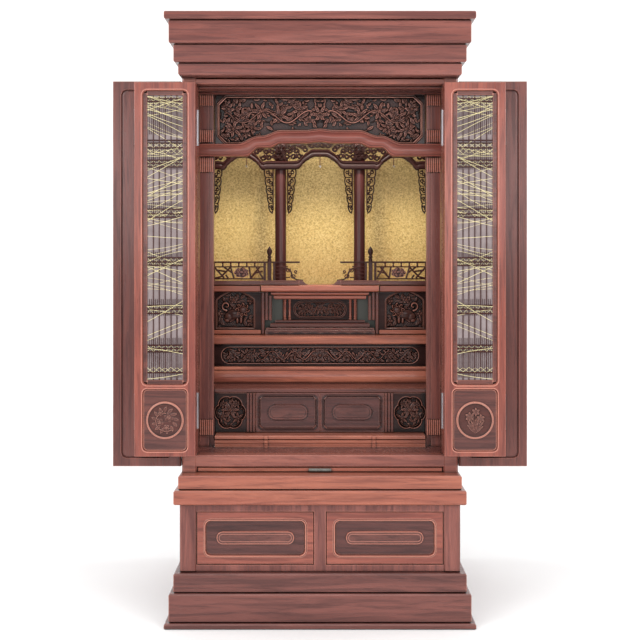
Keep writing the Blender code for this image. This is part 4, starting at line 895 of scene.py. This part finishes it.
def irisCarving(x, z, centre, radius):
    # iris: blades fanning from the foot, and three open flowers over them
    rise = np.full(x.shape, 0.05)
    foot = (centre[0], centre[1] - 0.80 * radius)
    for k, lean in enumerate((-0.75, -0.52, -0.30, -0.12, 0.06, 0.22, 0.42, 0.62, 0.84)):
        length = radius * (1.25 - 0.5 * abs(lean)) * (1.0 if k % 2 else 0.82)
        blade = leafRise(x, z, foot, math.pi / 2 - lean, length, 0.085 * radius)
        rise = np.maximum(rise, (0.5 + 0.12 * (k % 3)) * blade)
    for px, pz, size in ((-0.34, 0.22, 0.30), (0.34, 0.10, 0.28), (0.04, 0.52, 0.27)):
        place = (centre[0] + px * radius, centre[1] + pz * radius)
        for angle in (math.pi / 2, math.pi / 6, 5 * math.pi / 6, -math.pi / 2, -math.pi / 5, -4 * math.pi / 5):
            rise = np.maximum(rise, 0.95 * leafRise(x, z, place, angle, size * radius, 0.34 * size * radius))
        rise = np.maximum(rise, 0.9 * blossomRise(x, z, place, 0.10 * radius, 3))
    return rise


def peonyCarving(x, z, centre, radius):
    # a spray: three full blossoms with leaves and a stem round them
    rise = np.full(x.shape, 0.05)
    stem = scrollPath(centre, 0.72 * radius, -2.2, 0.62, 24, 0.6)
    rise = np.maximum(rise, 0.6 * vineRise(x, z, stem, 0.05 * radius))
    for k in range(13):
        angle = 2 * math.pi * k / 13
        place = (centre[0] + 0.48 * radius * math.cos(angle), centre[1] + 0.48 * radius * math.sin(angle))
        blade = leafRise(x, z, place, angle + 0.5, 0.40 * radius, 0.12 * radius)
        rise = np.maximum(rise, (0.45 + 0.1 * (k % 3)) * blade)
    for px, pz, size, petals in ((-0.24, 0.18, 0.34, 6), (0.34, -0.12, 0.28, 5), (-0.10, -0.46, 0.22, 5),
                                 (0.26, 0.46, 0.20, 5)):
        place = (centre[0] + px * radius, centre[1] + pz * radius)
        rise = np.maximum(rise, blossomRise(x, z, place, size * radius, petals, 0.3 * petals))
    return rise


def medallionShape(centre, radius, face, grow, carve):
    # a round relief: rings of points from the middle out, with a rolled rim; grow points into the leaf
    cell = leafPlan["medallionCell"]
    rings = np.concatenate([np.arange(1, int(0.90 * radius / cell)) * cell,
                            radius * np.array([0.905, 0.92, 0.94, 0.96, 0.98, 1.0, 1.012])])
    angle = np.linspace(0, 2 * math.pi, leafPlan["medallionSides"], endpoint=False)
    x = centre[0] + rings[:, None] * np.cos(angle)
    z = centre[1] + rings[:, None] * np.sin(angle)
    share = rings[:, None] / radius + 0 * x
    carved = 0.0019 + 0.0023 * carve(x, z) * np.clip((0.90 - share) / 0.03, 0, 1)
    rim = 0.0022 + 0.0017 * np.sqrt(np.clip(1 - ((share - 0.955) / 0.05) ** 2, 0, 1))
    rise = np.where(share > 1.005, 0.0, np.where(share < 0.90, carved, rim))
    return loftShape(np.stack([x, face + (leafPlan["sunk"] - rise) * grow, z], axis=-1))


def spreadThreads(x0, x1, low, high, count, radius, seed, near, grow, reach, bow):
    # threads from one edge to the other: a straight run plus one bow of a sine
    draw = np.random.default_rng(seed)
    shapes = []
    share = np.linspace(0, 1, 11)
    for k in range(count):
        start = draw.uniform(low, high)
        end = np.clip(start + draw.uniform(-reach, reach), low, high)
        bend = draw.uniform(-bow, bow)
        z = np.clip(start + (end - start) * share + bend * np.sin(math.pi * share), low, high)
        path = np.stack([x0 + (x1 - x0) * share, z], axis=1)
        shapes.append(tubeShape(atDepth(path, near - grow * (0.0006 + 0.0012 * (k % 3))), radius, 5))
    return shapes


def zigzagThreads(x0, x1, low, high, near, grow, seed, count=7):
    # two rows of short crossing strokes between two slats
    draw = np.random.default_rng(seed)
    shapes = []
    x = np.linspace(x0, x1, count)
    for row in range(2):
        z = np.where(np.arange(count) % 2 == row % 2, low, high) + draw.uniform(-0.0012, 0.0012, count)
        shapes.append(tubeShape(atDepth(np.stack([x, z], axis=1), near - grow * (0.0006 + 0.0008 * row)), 0.0004, 5))
    return shapes


def rodBetween(ends, y, radius, sides=7):
    # a straight rod between two places in a front view
    (x0, z0), (x1, z1) = ends
    share = np.linspace(0.0, 1.0, 3)
    return tubeShape(atDepth(np.stack([x0 + (x1 - x0) * share, z0 + (z1 - z0) * share], axis=1), y), radius, sides)


def makeGrilles():
    plan = leafPlan
    for fold, grow in leafSides:
        low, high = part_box("grille_right_" + fold)
        near = low.y if grow > 0 else high.y
        x0, x1 = low.x + plan["margin"], high.x - plan["margin"]
        z0, z1 = low.z + plan["margin"], high.z - plan["margin"]
        gauze = boxShape((x0 - 0.002, x1 + 0.002), sorted((near + 0.0030 * grow, near + 0.0058 * grow)),
                         (z0 - 0.002, z1 + 0.002), 0.0004)
        ys = sorted((near - 0.0002 * grow, near + 0.0058 * grow))
        border = [boxShape(xs, ys, zs, 0.0006) for xs, zs in
                  (((low.x, x0), (low.z + 0.004, high.z - 0.004)), ((x1, high.x), (low.z + 0.004, high.z - 0.004)),
                   ((x0 - 0.001, x1 + 0.001), (low.z, z0)), ((x0 - 0.001, x1 + 0.001), (z1, high.z)))]
        barY = near + 0.0016 * grow
        bars = [rodBetween(((x, z0), (x, z1)), barY, plan["barRadius"], 6)
                for x in np.linspace(x0, x1, plan["bars"] + 2)[1:-1]]
        bars += [rodBetween(((x, bottom), (x, top)), barY, plan["fineRadius"], 5)
                 for bottom, top in fineBands for x in np.linspace(x0, x1, plan["fineBars"] + 2)[1:-1]]
        bars += [rodBetween(((x0, z), (x1, z)), barY, plan["slatRadius"], 6) for z in slatHeights]
        longSeed, fineSeed, rowSeed = plan["seeds"]
        threads = spreadThreads(x0, x1, z0 + 0.002, z1 - 0.002, plan["longThreads"], plan["threadRadius"], longSeed,
                                near + 0.0020 * grow, grow, 0.046, 0.0015)
        threads += spreadThreads(x0, x1, z0 + 0.002, z1 - 0.002, plan["fineThreads"], plan["fineThreadRadius"],
                                 fineSeed, near + 0.0026 * grow, grow, 0.036, 0.003)
        for number, (below, above) in enumerate(zigzagRows):
            threads += zigzagThreads(x0, x1, below, above, near + 0.0020 * grow, grow, rowSeed + number)
        addPairs([("gauze", [gauze], "paleGauze", "gauze", "grille_{}_" + fold),
                  ("grilleBars", bars, "screenWood", "dark_rosewood"),
                  ("windowBorder", border, "fieldWood", "dark_rosewood"),
                  ("goldThreads", threads, "goldThread", "gold_leaf")],
                 "lattice_{}_" + fold + "_body", fold.capitalize())


def makeLeafTrim():
    plan = leafPlan
    for fold, grow in leafSides:
        low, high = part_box("grille_right_" + fold)
        face = (low.y if grow > 0 else high.y) - 0.0035 * grow
        path = roundedPath(low.x - 0.0036, high.x + 0.0036, low.z - 0.0036, high.z + 0.0036, 0.0125)
        bead = closedTube(path, face + 0.4 * plan["beadRadius"] * grow, plan["beadRadius"])
        leafLow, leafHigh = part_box("lattice_right_" + fold)
        centre = ((leafLow.x + leafHigh.x) / 2, leafLow.z + 0.078)
        for side in ("Right", "Left"):
            body = "lattice_" + side.lower() + "_" + fold + "_body"
            carve = irisCarving if (side == "Right") == (fold == "fold") else peonyCarving
            disc = medallionShape(centre, 0.0392, face, grow, lambda x, z: carve(x, z, centre, 0.0350))
            label = side + fold.capitalize()
            addPiece("windowBead" + label, [bead], body, "beadWood", (), side == "Left")
            addPiece("medallion" + label, [disc], body, "medalWood", (), side == "Left")


makeGrilles()
makeLeafTrim()
print("lattice leaves made")

# Screen of arches: a moulded band over three arches, scrollwork above it and hanging brackets beside the pillars

screenPlan = {"face": 0.117, "thick": 0.010, "archTop": 1.0483, "drop": 0.032, "footTop": 1.0163, "band": 0.021,
              "half": 0.2865, "middleArch": 0.061, "outerArch": (0.193, 0.054), "bracketDrop": 0.108,
              "screenTop": 1.1145, "pillarX": 0.0995, "pillarY": 0.1413, "pillarRadius": 0.0145,
              "brackets": ((0.061, 0.0822), (0.139, 0.1165), (0.247, 0.266)), "hooks": (-0.184, 0.0, 0.184)}
archShares = np.array([0.0, 0.20, 0.30, 0.36, 0.42, 0.46, 0.54, 0.60, 0.64, 0.72, 0.76, 0.82, 0.88, 1.0])
archDrops = np.array([0.0, 0.01, 0.05, 0.12, 0.16, 0.26, 0.32, 0.40, 0.50, 0.58, 0.74, 0.86, 0.96, 1.0])
archSection = ((0.0, 0.55), (0.10, 0.20), (0.25, 0.0), (0.48, 0.02), (0.60, 0.22), (0.66, 0.45), (0.72, 0.22),
               (0.82, 0.10), (0.93, 0.25), (1.0, 0.60))


def archUnder(x):
    # the arches' underside: steps of a cusped curve inside each arch, level between them
    plan = screenPlan
    a, (centre, half) = np.abs(x), plan["outerArch"]
    middle = np.interp(np.clip(a / plan["middleArch"], 0, 1), archShares, archDrops)
    outer = np.interp(np.clip(np.abs(a - centre) / half, 0, 1), archShares, archDrops)
    sides = np.where(np.abs(a - centre) <= half, plan["archTop"] - 0.003 - plan["drop"] * outer, plan["footTop"])
    return np.where(a <= plan["middleArch"], plan["archTop"] - plan["drop"] * middle, sides)


def archBand():
    # a rounded moulding whose underside follows the arches and whose thickness eases with them
    plan = screenPlan
    x = np.linspace(-plan["half"], plan["half"], 460)
    low = archUnder(x)
    high = np.minimum(smoothEdge(low, 13) + plan["band"], plan["archTop"] + plan["band"] * 0.85)
    section = [(plan["face"] - 0.004 + 0.007 * out, share) for share, out in archSection]
    rear = plan["face"] + plan["thick"]
    return bandShape(x, low, high, section + [(rear, 1.0), (rear, 0.0)])


def bracketTubes(inner, outer, y, lobes=5):
    # a hanging bracket: a straight back, a lobed edge, and two curls and a rung in each lobe
    plan = screenPlan
    top, drop = plan["footTop"] + 0.001, plan["bracketDrop"]
    sign = 1 if inner > outer else -1
    share = np.linspace(0, 1, 110)
    reach = abs(inner - outer) * (1.0 - 0.62 * share ** 1.3)
    lobe = 0.0028 * np.abs(np.sin(share * math.pi * lobes)) ** 0.7
    edge = np.stack([outer + sign * (reach - 0.0014 + lobe), top - drop * share], axis=1)
    back = np.stack([outer + sign * 0.0012 + 0 * share, top - drop * 0.94 * share], axis=1)
    tip = np.array([edge[-1], [outer + sign * 0.004, top - drop * 1.04], back[-1]])
    tubes = [tubeShape(atDepth(path, y), radius, 8)
             for path, radius in ((edge, 0.0017), (back, 0.0016), (tip, 0.0015))]
    for k in range(lobes):
        at = (k + 0.5) / lobes
        wide = abs(inner - outer) * (1.0 - 0.62 * at ** 1.3)
        cz = top - drop * at
        for flip, turn in ((1, 1.2), (-1, -1.2)):
            place = (outer + sign * (wide * (0.52 + 0.16 * flip)), cz + 0.0030 * flip)
            curl = scrollPath(place, min(0.0052, wide * 0.34), turn, 1.25 * flip * sign, 18, 0.28)
            tubes.append(tubeShape(atDepth(curl, y), 0.0015, 7))
        rung = np.array([[outer + sign * 0.0012, cz - drop * 0.085], [outer + sign * wide * 0.5, cz - drop * 0.10],
                         [outer + sign * (wide - 0.001), cz - drop * 0.09]])
        tubes.append(tubeShape(atDepth(rung, y), 0.0014, 7))
    return tubes


def lampHook(x, y, low, high):
    # a short dark rod with a curled pale tip to hang a lamp from
    rod = np.stack([np.full(8, x), np.linspace(high, low, 8)], axis=1)
    turn = np.linspace(-math.pi / 2, math.pi, 12)
    tip = np.stack([x + 0.002 * np.cos(turn), low - 0.002 + 0.0022 * np.sin(turn)], axis=1)
    return tubeShape(atDepth(rod, y), 0.0010, 8), tubeShape(atDepth(tip, y), 0.0008, 6)


def scrollwork(y, count=19):
    # curls in three rows above the band, turning left and right by turns, with short leaves between them
    shapes = []
    for sign in (1, -1):
        for row, (lift, size) in enumerate(((0.031, 0.0074), (0.045, 0.0066), (0.057, 0.0058))):
            for k in range(count):
                px = 0.006 + 0.0152 * k + 0.0076 * (row % 2)
                pz = min(float(archUnder(np.array([px]))[0]) + lift, screenPlan["screenTop"] - 0.004)
                turns = 1.25 if (k + row) % 2 else -1.25
                curl = scrollPath((px, pz), size, 0.9 * k + 1.3 * row, turns, 18, 0.26)
                shapes.append(tubeShape(atDepth(curl * (sign, 1), y), 0.0025, 6))
                if px < 0.27:
                    stem = np.array([[px + size * 0.7, pz - 0.004], [px + 0.0065, pz], [px + 0.0085, pz + 0.006]])
                    shapes.append(tubeShape(atDepth(stem * (sign, 1), y), np.array([0.0012, 0.0024, 0.0008]), 6))
    return shapes


def makeScreen():
    plan = screenPlan
    y = plan["face"] + 0.004
    openwork = []
    for inner, outer in plan["brackets"]:
        for sign in (1, -1):
            openwork += bracketTubes(sign * inner, sign * outer, y)
    addPiece("archBand", [archBand()], "cabinet", "screenWood", ["arch_screen"])
    addPiece("archScrolls", openwork + scrollwork(y), "cabinet", "scrollWood")
    shares = np.array([0.0, 0.012, 0.022, 0.026, 0.034, 0.040, 0.9, 1.0])
    widths = np.array([1.12, 1.14, 1.12, 1.0, 1.02, 1.0, 1.0, 1.0])
    low, high = cabinetPlan["altarTop"] + 0.0006, plan["screenTop"]
    shaft = turnedShape(np.stack([plan["pillarRadius"] * widths * 0.97, low + (high - low) * shares], axis=1),
                        plan["pillarX"], plan["pillarY"], 32)
    addPairs([("archPillar", [shaft], "pillarWood", "dark_rosewood", "pillar_{}")])
    rods, tips = zip(*[lampHook(x, 0.110, 1.0245, 1.052) for x in plan["hooks"]])
    addPiece("lampRods", rods, "cabinet", "darkWood")
    addPiece("lampTips", tips, "cabinet", "silverSteel")


makeScreen()
print("arch screen made")

# Trim: fine beads along the openings, and thin boards that give the sunk fields their own wood

trimPlan = {"fine": 0.0007, "panelTall": 0.1355, "rings": ((0.0394, 0.0012, 0.0018), (0.0370, 0.0008, 0.0030))}
# The drawers' fronts on the right: x and z, the face, the margin round the sunk moat, its corners and its width
drawerPlans = (
    {"body": "stand_drawer_{}_body", "name": "standDrawer", "bead": 0.0011, "wood": "beadWood", "x": (0.0140, 0.2660),
     "z": (0.1310, 0.2430), "face": -0.2365, "margin": 0.0185, "corner": 0.012, "moat": 0.0225},
    {"body": "lower_drawer_{}_body", "name": "lowerDrawer", "bead": 0.0009, "wood": "trimWood", "x": (0.0003, 0.1492),
     "z": (0.3884, 0.4802), "face": -0.0685, "margin": 0.0095, "corner": 0.008, "moat": 0.017},
)


def slabShape(outline, near, far, ease=0.0004):
    # a thin board with the given outline in a front view, its front edge eased
    middle = outline.mean(axis=0)
    pulled = middle + (outline - middle) * (1 - ease / np.abs(outline - middle).max())
    return loftShape([atDepth(path, y) for path, y in ((outline, far), (outline, near + ease), (pulled, near))])


def makeDrawerTrim(plan):
    # two beads round the sunk moat, two round the raised field, and thin boards on both
    (low, high), (bottom, top) = plan["x"], plan["z"]
    face, margin, corner, fine = plan["face"], plan["margin"], plan["corner"], trimPlan["fine"]

    def ringPath(inset, radius, steps=10):
        return roundedPath(low + inset, high - inset, bottom + inset, top - inset, radius, steps)

    def longPath(inset):
        # the ends are nearly half circles
        return ringPath(inset, ((top - bottom) / 2 - inset) * 0.96, 12)

    field = margin + plan["moat"]
    beads = [closedTube(ringPath(margin - 0.0015, corner + 0.0012), face - 0.0008, plan["bead"]),
             closedTube(ringPath(margin - 0.0045, corner + 0.004), face - 0.0001, fine),
             closedTube(longPath(field + 0.0022), face + 0.0009, fine),
             closedTube(longPath(field + 0.0070), face + 0.0010, fine * 0.8)]
    moatBoard = slabShape(ringPath(margin + 0.0012, corner), face + 0.0035, face + 0.0090)
    fieldBoard = slabShape(longPath(field + 0.0016), face + 0.0008, face + 0.0080)
    addPairs([(plan["name"] + "Beads", beads, plan["wood"], "rosewood"),
              (plan["name"] + "Moat", [moatBoard], "moatWood", "rosewood"),
              (plan["name"] + "Field", [fieldBoard], "figuredWood", "rosewood")], plan["body"])


def makeLeafPanelTrim():
    # the lower panel of each lattice leaf: a double bead round its sunk field, a double ring round the medallion
    sunk = leafPlan["sunk"]
    turn = np.linspace(0, 2 * math.pi, 64, endpoint=False)
    for fold, grow in leafSides:
        leafLow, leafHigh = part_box("lattice_right_" + fold)
        windowLow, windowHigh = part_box("grille_right_" + fold)
        face = leafLow.y if grow > 0 else leafHigh.y
        x0, x1 = windowLow.x - 0.0014, windowHigh.x + 0.0014
        z0 = leafLow.z + 0.0105
        z1 = z0 + trimPlan["panelTall"]

        def framePath(inset, radius):
            return roundedPath(x0 + inset, x1 - inset, z0 + inset, z1 - inset, radius, 10)

        beads = [closedTube(framePath(-0.0012, 0.0115), face + 0.0006 * grow, 0.0011),
                 closedTube(framePath(0.0024, 0.0095), face + (sunk - 0.0004) * grow, 0.0008)]
        middle = np.array([(leafLow.x + leafHigh.x) / 2, leafLow.z + 0.078])
        for radius, thick, lift in trimPlan["rings"]:
            ring = middle + radius * np.stack([np.cos(turn), np.sin(turn)], axis=1)
            beads.append(closedTube(ring, face + (sunk - lift) * grow, thick))
        board = slabShape(framePath(0.0022, 0.009), face + (sunk - 0.0004) * grow, face + (sunk + 0.0045) * grow,
                          0.0002 * grow)
        addPairs([("panelBeads", beads, "beadWood", "rosewood"), ("panelField", [board], "fieldWood", "rosewood")],
                 "lattice_{}_" + fold + "_body", fold.capitalize())


for drawerPlan in drawerPlans:
    makeDrawerTrim(drawerPlan)
makeLeafPanelTrim()
print("trim made")

# Rainbow beam, reeded column blocks and the ceiling boards in front of the transom

beamPlan = {"bottom": 1.0258, "flat": 0.029, "front": -0.110, "thick": 0.016, "half": 0.2866}
beamSection = ((0.0, 0.0040), (0.03, 0.0016), (0.08, 0.0006), (0.12, 0.0008), (0.16, 0.0022), (0.20, 0.0016),
               (0.34, 0.0005), (0.50, 0.0001), (0.66, 0.0005), (0.80, 0.0016), (0.84, 0.0022), (0.88, 0.0008),
               (0.92, 0.0004), (0.97, 0.0012), (1.0, 0.0036))
reedPlan = {"first": 0.2462, "pitch": 0.00455, "width": 0.0034, "count": 7, "y": (-0.0965, -0.0915),
            "blocks": ((0.3853, 0.4223), (0.9900, 1.0250), (1.0580, 1.0880), (1.1425, 1.1735))}
ceilingPlan = {"half": 0.2864, "top": 1.1743,
               "boards": ((-0.1715, 0.018, 1.1700), (-0.1520, 0.040, 1.1716), (-0.1105, 0.026, 1.1690))}


def makeBeam():
    # the beam's section swells at the front, with a raised lip along both edges
    plan = beamPlan
    x = np.linspace(-plan["half"], plan["half"], 360)
    low, high = plan["bottom"] + beamUnder(x), plan["bottom"] + plan["flat"] + beamOver(x)
    rear = plan["front"] + plan["thick"]
    section = [(plan["front"] + out, share) for share, out in beamSection] + [(rear, 1.0), (rear, 0.0)]
    addPiece("rainbowBeam", [bandShape(x, smoothEdge(low, 9), smoothEdge(high, 9), section)], "cabinet", "beamWood",
             ["rainbow_beam"])


def makeReeds():
    # upright reeds with rounded edges on each column block
    plan = reedPlan
    reeds = [boxShape((left, left + plan["width"]), plan["y"], (low + 0.0004, high - 0.0004), 0.0011)
             for low, high in plan["blocks"] for left in plan["first"] + plan["pitch"] * np.arange(plan["count"])]
    addPairs([("columnReeds", reeds, "beadWood", "rosewood")])


def makeCeilingBoards():
    # three boards with eased edges under the ceiling, stepping down towards the transom
    plan = ceilingPlan
    boards = [boxShape((-plan["half"], plan["half"]), (y, y + deep), (low, plan["top"]), 0.0012)
              for y, deep, low in plan["boards"]]
    addPiece("ceilingBoards", boards, "cabinet", "railWood")


makeBeam()
makeReeds()
makeCeilingBoards()

# Altar: recesses beside the waist, apron under the base

altarPlan = {"recess": ((0.0934, 0.1440), (0.1300, 0.1400), (0.6045, 0.7262)), "apronHalf": 0.128, "waves": 3.5}


def makeAltarTrim():
    addPairs([("waistRecess", [boxShape(*altarPlan["recess"], 0.0006)], "slateCloth", "dark_rosewood")])
    half = altarPlan["apronHalf"]
    x = np.linspace(-half, half, 240)
    wave = np.abs(np.sin(x / half * math.pi * altarPlan["waves"])) ** 0.6
    apron = curtainShape(x, 0.6042 + 0 * x, 0.6062 + 0.0034 * wave, 0.0925, 0.0960, 0.0004)
    addPiece("altarApron", [apron], "cabinet", "screenWood")


makeAltarTrim()
print("beam, columns and altar trim made")

# Railings: rods over an ogee-ended board, fretwork with a carved cloud, and a newel with a bud finial

railPlan = {"y": 0.0945, "floor": 0.7272, "board": 0.0115, "top": 0.7835, "outer": 0.2654, "newel": 0.1255,
            "rod": 0.0021, "fine": 0.0017, "cloud": (0.195, 0.7577), "cloudSize": (0.0190, 0.0130),
            "cloudFlowers": ((0.186, 0.7585, 0.0095), (0.204, 0.7590, 0.0095))}
# The fretwork's crossing slats, each from one place to another
frets = (((0.142, 0.744), (0.158, 0.771)), ((0.150, 0.771), (0.166, 0.752)), ((0.142, 0.761), (0.160, 0.757)),
         ((0.160, 0.757), (0.172, 0.744)), ((0.172, 0.744), (0.176, 0.771)), ((0.214, 0.744), (0.222, 0.771)),
         ((0.218, 0.757), (0.238, 0.771)), ((0.222, 0.771), (0.246, 0.747)), ((0.232, 0.760), (0.258, 0.764)),
         ((0.238, 0.744), (0.262, 0.771)), ((0.246, 0.747), (0.260, 0.744)), ((0.228, 0.744), (0.234, 0.752)))


def budFinial(x, y, low):
    # a turned neck with two rings under a pointed bud
    heights = np.array([0.0, 0.004, 0.008, 0.010, 0.0115, 0.013, 0.0145, 0.0165, 0.019, 0.022, 0.026, 0.030,
                        0.034, 0.038, 0.0395])
    radii = np.array([0.0048, 0.0050, 0.0046, 0.0034, 0.0052, 0.0056, 0.0050, 0.0034, 0.0042, 0.0060, 0.0070,
                      0.0062, 0.0040, 0.0014, 0.0002])
    return turnedShape(np.stack([radii, low + heights], axis=1), x, y, 16)


def carvedCloud(plan):
    # two blossoms between curling leaves, on rings that spread to a lobed rim
    share = np.append(np.linspace(0.02, 1.0, 26), (1.0, 0.02))[:, None]
    turn = np.linspace(0, 2 * math.pi, 90, endpoint=False)[None, :]
    reach = share * (0.84 + 0.16 * np.abs(np.cos(3.5 * turn)))
    x = plan["cloud"][0] + plan["cloudSize"][0] * reach * np.cos(turn)
    z = plan["cloud"][1] + plan["cloudSize"][1] * reach * np.sin(turn)
    rise = 0.25 * np.ones(x.shape)
    for px, pz, size in plan["cloudFlowers"]:
        for n in range(6):
            rise = np.maximum(rise, 0.7 * leafRise(x, z, (px, pz), n * 1.05, size * 1.3, size * 0.36))
        rise = np.maximum(rise, blossomRise(x, z, (px, pz), size * 0.8, 5))
    depth = plan["y"] + 0.0010 - 0.0045 * rise
    depth[-2:] = plan["y"] + 0.0030
    return loftShape(np.stack([x, depth, z], axis=-1))


def makeRailings():
    plan = railPlan
    y, floor, top, fine = plan["y"], plan["floor"], plan["top"], plan["fine"]
    newel, outer = plan["newel"], plan["outer"]
    foot, row = floor + plan["board"], top - 0.0115
    end = np.linspace(0.0310, 0.0520, 30)
    rise = plan["board"] * (0.18 + 0.82 * smoothStep((end - 0.032) / 0.014))
    boards = [curtainShape(end, floor + 0 * end, floor + rise, y - 0.007, y + 0.006, 0.0008),
              boxShape((0.0515, newel + 0.022), (y - 0.009, y + 0.006), (floor, foot - 0.004), 0.0012),
              boxShape((0.0515, newel + 0.022), (y - 0.007, y + 0.006), (foot - 0.0042, foot), 0.0010),
              boxShape((newel + 0.020, outer), (y - 0.006, y + 0.006), (floor, foot - 0.001), 0.0012)]
    shapes = [boxShape((newel - 0.0048, newel + 0.0048), (y - 0.0055, y + 0.0055), (foot - 0.001, top + 0.001),
                       0.0012), budFinial(newel, y, top)]
    shapes += [boxShape((x - 0.0028, x + 0.0028), (y - 0.003, y + 0.004), (foot - 0.001, top - 0.001), 0.0008)
               for x in (newel - 0.0118, newel + 0.0118)]
    shapes += [rodBetween(((0.0500, top), (outer, top)), y, plan["rod"], 8),
               rodBetween(((newel + 0.012, row), (outer, row)), y, fine),
               rodBetween(((newel + 0.012, foot + 0.0035), (outer, foot + 0.0035)), y, fine),
               boxShape((outer - 0.005, outer), (y - 0.003, y + 0.004), (foot - 0.001, top), 0.0008)]
    # the row of rounded gaps: short stays that spread at head and foot
    height = np.linspace(row, top, 9)
    spread = fine * (1.0 + 1.6 * np.abs(np.linspace(-1, 1, 9)) ** 2.5)
    for x in np.linspace(newel + 0.0165, outer - 0.004, 7)[1:-1]:
        shapes.append(tubeShape(atDepth(np.stack([x + 0 * height, height], axis=1), y), spread, 8, 0.6))
    shapes += [rodBetween(ends, y, 1.35 * fine) for ends in frets]
    # inner wing: level bars and a scroll that falls to the board's end
    for lift, start in ((0.007, 0.074), (0.016, 0.084), (0.025, 0.090), (0.034, 0.080)):
        shapes.append(rodBetween(((start, foot + lift), (newel - 0.012, foot + lift)), y, 0.0015))
    shapes.append(rodBetween(((0.0865, foot), (0.0865, foot + 0.036)), y, 0.0015))
    t = np.linspace(0.0, 1.0, 40)
    fall = np.stack([0.098 - 0.056 * t - 0.006 * np.sin(2 * math.pi * t),
                     top - 0.012 - (top - foot - 0.012) * t ** 0.9 + 0.004 * np.sin(2 * math.pi * t)], axis=1)
    shapes.append(tubeShape(atDepth(fall, y), 0.0024 - 0.0008 * t, 8))
    for place, size, turn, turns in (((0.0790, 0.7640), 0.0060, 2.4, 1.4), ((0.0660, 0.7490), 0.0062, 0.6, -1.4),
                                     ((0.0600, 0.7600), 0.0045, 4.0, 1.2)):
        shapes.append(tubeShape(atDepth(scrollPath(place, size, turn, turns, 26, 0.2), y), 0.0014, 7))
    addPairs([("railing", shapes, "darkWood", "dark_rosewood", "railing_{}"),
              ("railingBoards", boards, "innerWood", "dark_rosewood"),
              ("railingCloud", [carvedCloud(plan)], "carvedWood", "carved_wood")])


makeRailings()
print("railings made")

# Floor, backdrop, lights and camera

studio = {"cameraPlace": (0.0, -2.470, 0.784), "lens": 58.1, "sensor": 36.0, "shiftDown": 0.0906, "floorHalf": 6.0,
          "sweepStart": 1.6, "sweepRadius": 1.5, "wallHeight": 5.0, "worldLight": 0.45}
# Each area light: its place, what it looks at, its two sides, its watts and its colour
lightTable = {
    "leftSoftbox": ((-2.2, -2.6, 1.9), (0.0, 0.0, 0.7), (1.6, 2.2), 52.0, (1.0, 1.0, 1.0)),
    "rightSoftbox": ((2.2, -2.6, 1.9), (0.0, 0.0, 0.7), (1.6, 2.2), 46.0, (1.0, 1.0, 1.0)),
    "frontSoftbox": ((0.0, -3.4, 1.2), (0.0, 0.0, 0.75), (2.4, 0.8), 26.0, (1.0, 1.0, 1.0)),
    "topSoftbox": ((0.0, -0.8, 3.4), (0.0, 0.0, 0.8), (2.6, 2.6), 45.0, (1.0, 1.0, 1.0)),
    "leftWallLight": ((-3.4, 0.6, 2.6), (-1.2, 3.1, 1.2), (1.5, 2.5), 60.0, (1.0, 1.0, 1.0)),
    "rightWallLight": ((3.4, 0.6, 2.6), (1.2, 3.1, 1.2), (1.5, 2.5), 60.0, (1.0, 1.0, 1.0)),
    "altarLight": ((0.0, 0.020, 1.110), (0.0, 0.250, 0.74), (0.50, 0.03), 1.5, (1.0, 0.95, 0.85)),
}


def makeBackdrop():
    # the floor runs back flat, then turns up on a quarter circle into a wall
    turn = np.linspace(0.0, math.pi / 2, 16)
    radius, start = studio["sweepRadius"], studio["sweepStart"]
    depth = np.concatenate([[-studio["floorHalf"]], start + radius * np.sin(turn), [start + radius]])
    height = np.concatenate([[0.0], radius * (1 - np.cos(turn)), [studio["wallHeight"]]])
    across = np.array([-studio["floorHalf"], studio["floorHalf"]])
    points = np.stack([np.repeat(across, len(depth)), np.tile(depth, 2), np.tile(height, 2)], axis=1)
    first = np.arange(len(depth) - 1)
    quads = np.stack([first, first + len(depth), first + len(depth) + 1, first + 1], axis=1)
    mesh = bpy.data.meshes.new("backdrop")
    mesh.from_pydata(points.tolist(), [], quads.tolist())
    mesh.shade_smooth()
    backdrop = bpy.data.objects.new("backdrop", mesh)
    bpy.context.scene.collection.objects.link(backdrop)
    material, tree, shader = newMaterial("paleFloor")
    shader["Base Color"].default_value = tone(243, 243, 243)
    shader["Roughness"].default_value = 0.7
    mesh.materials.append(material)


def addLight(name, place, aim, size, power, colour):
    # an area light faces down its own z axis: tilted by the angle from the upright, then turned about it
    light = bpy.data.lights.new(name, "AREA")
    light.shape = "RECTANGLE"
    light.size, light.size_y = size
    light.energy = power
    light.color = colour
    lamp = bpy.data.objects.new(name, light)
    bpy.context.scene.collection.objects.link(lamp)
    lamp.location = place
    away = np.array(place) - np.array(aim)
    flat = math.hypot(away[0], away[1])
    lamp.rotation_euler = (math.atan2(flat, away[2]), 0.0, math.atan2(away[1], away[0]) + math.pi / 2)


def makeStudio():
    makeBackdrop()
    for name, settings in lightTable.items():
        addLight(name, *settings)
    world = bpy.data.worlds.new("studioWorld")
    bpy.context.scene.world = world
    world.use_nodes = True
    background = world.node_tree.nodes["Background"].inputs
    background["Color"].default_value = (1.0, 1.0, 1.0, 1.0)
    background["Strength"].default_value = studio["worldLight"]
    camera = bpy.data.cameras.new("photoCamera")
    camera.lens = studio["lens"]
    camera.sensor_width = studio["sensor"]
    camera.shift_y = -studio["shiftDown"]
    eye = bpy.data.objects.new("photoCamera", camera)
    bpy.context.scene.collection.objects.link(eye)
    eye.location = studio["cameraPlace"]
    eye.rotation_euler = (math.pi / 2, 0.0, 0.0)
    bpy.context.scene.camera = eye
    bpy.context.view_layer.update()


makeStudio()
bpy.context.scene.view_settings.view_transform = "Standard"
print("studio made")
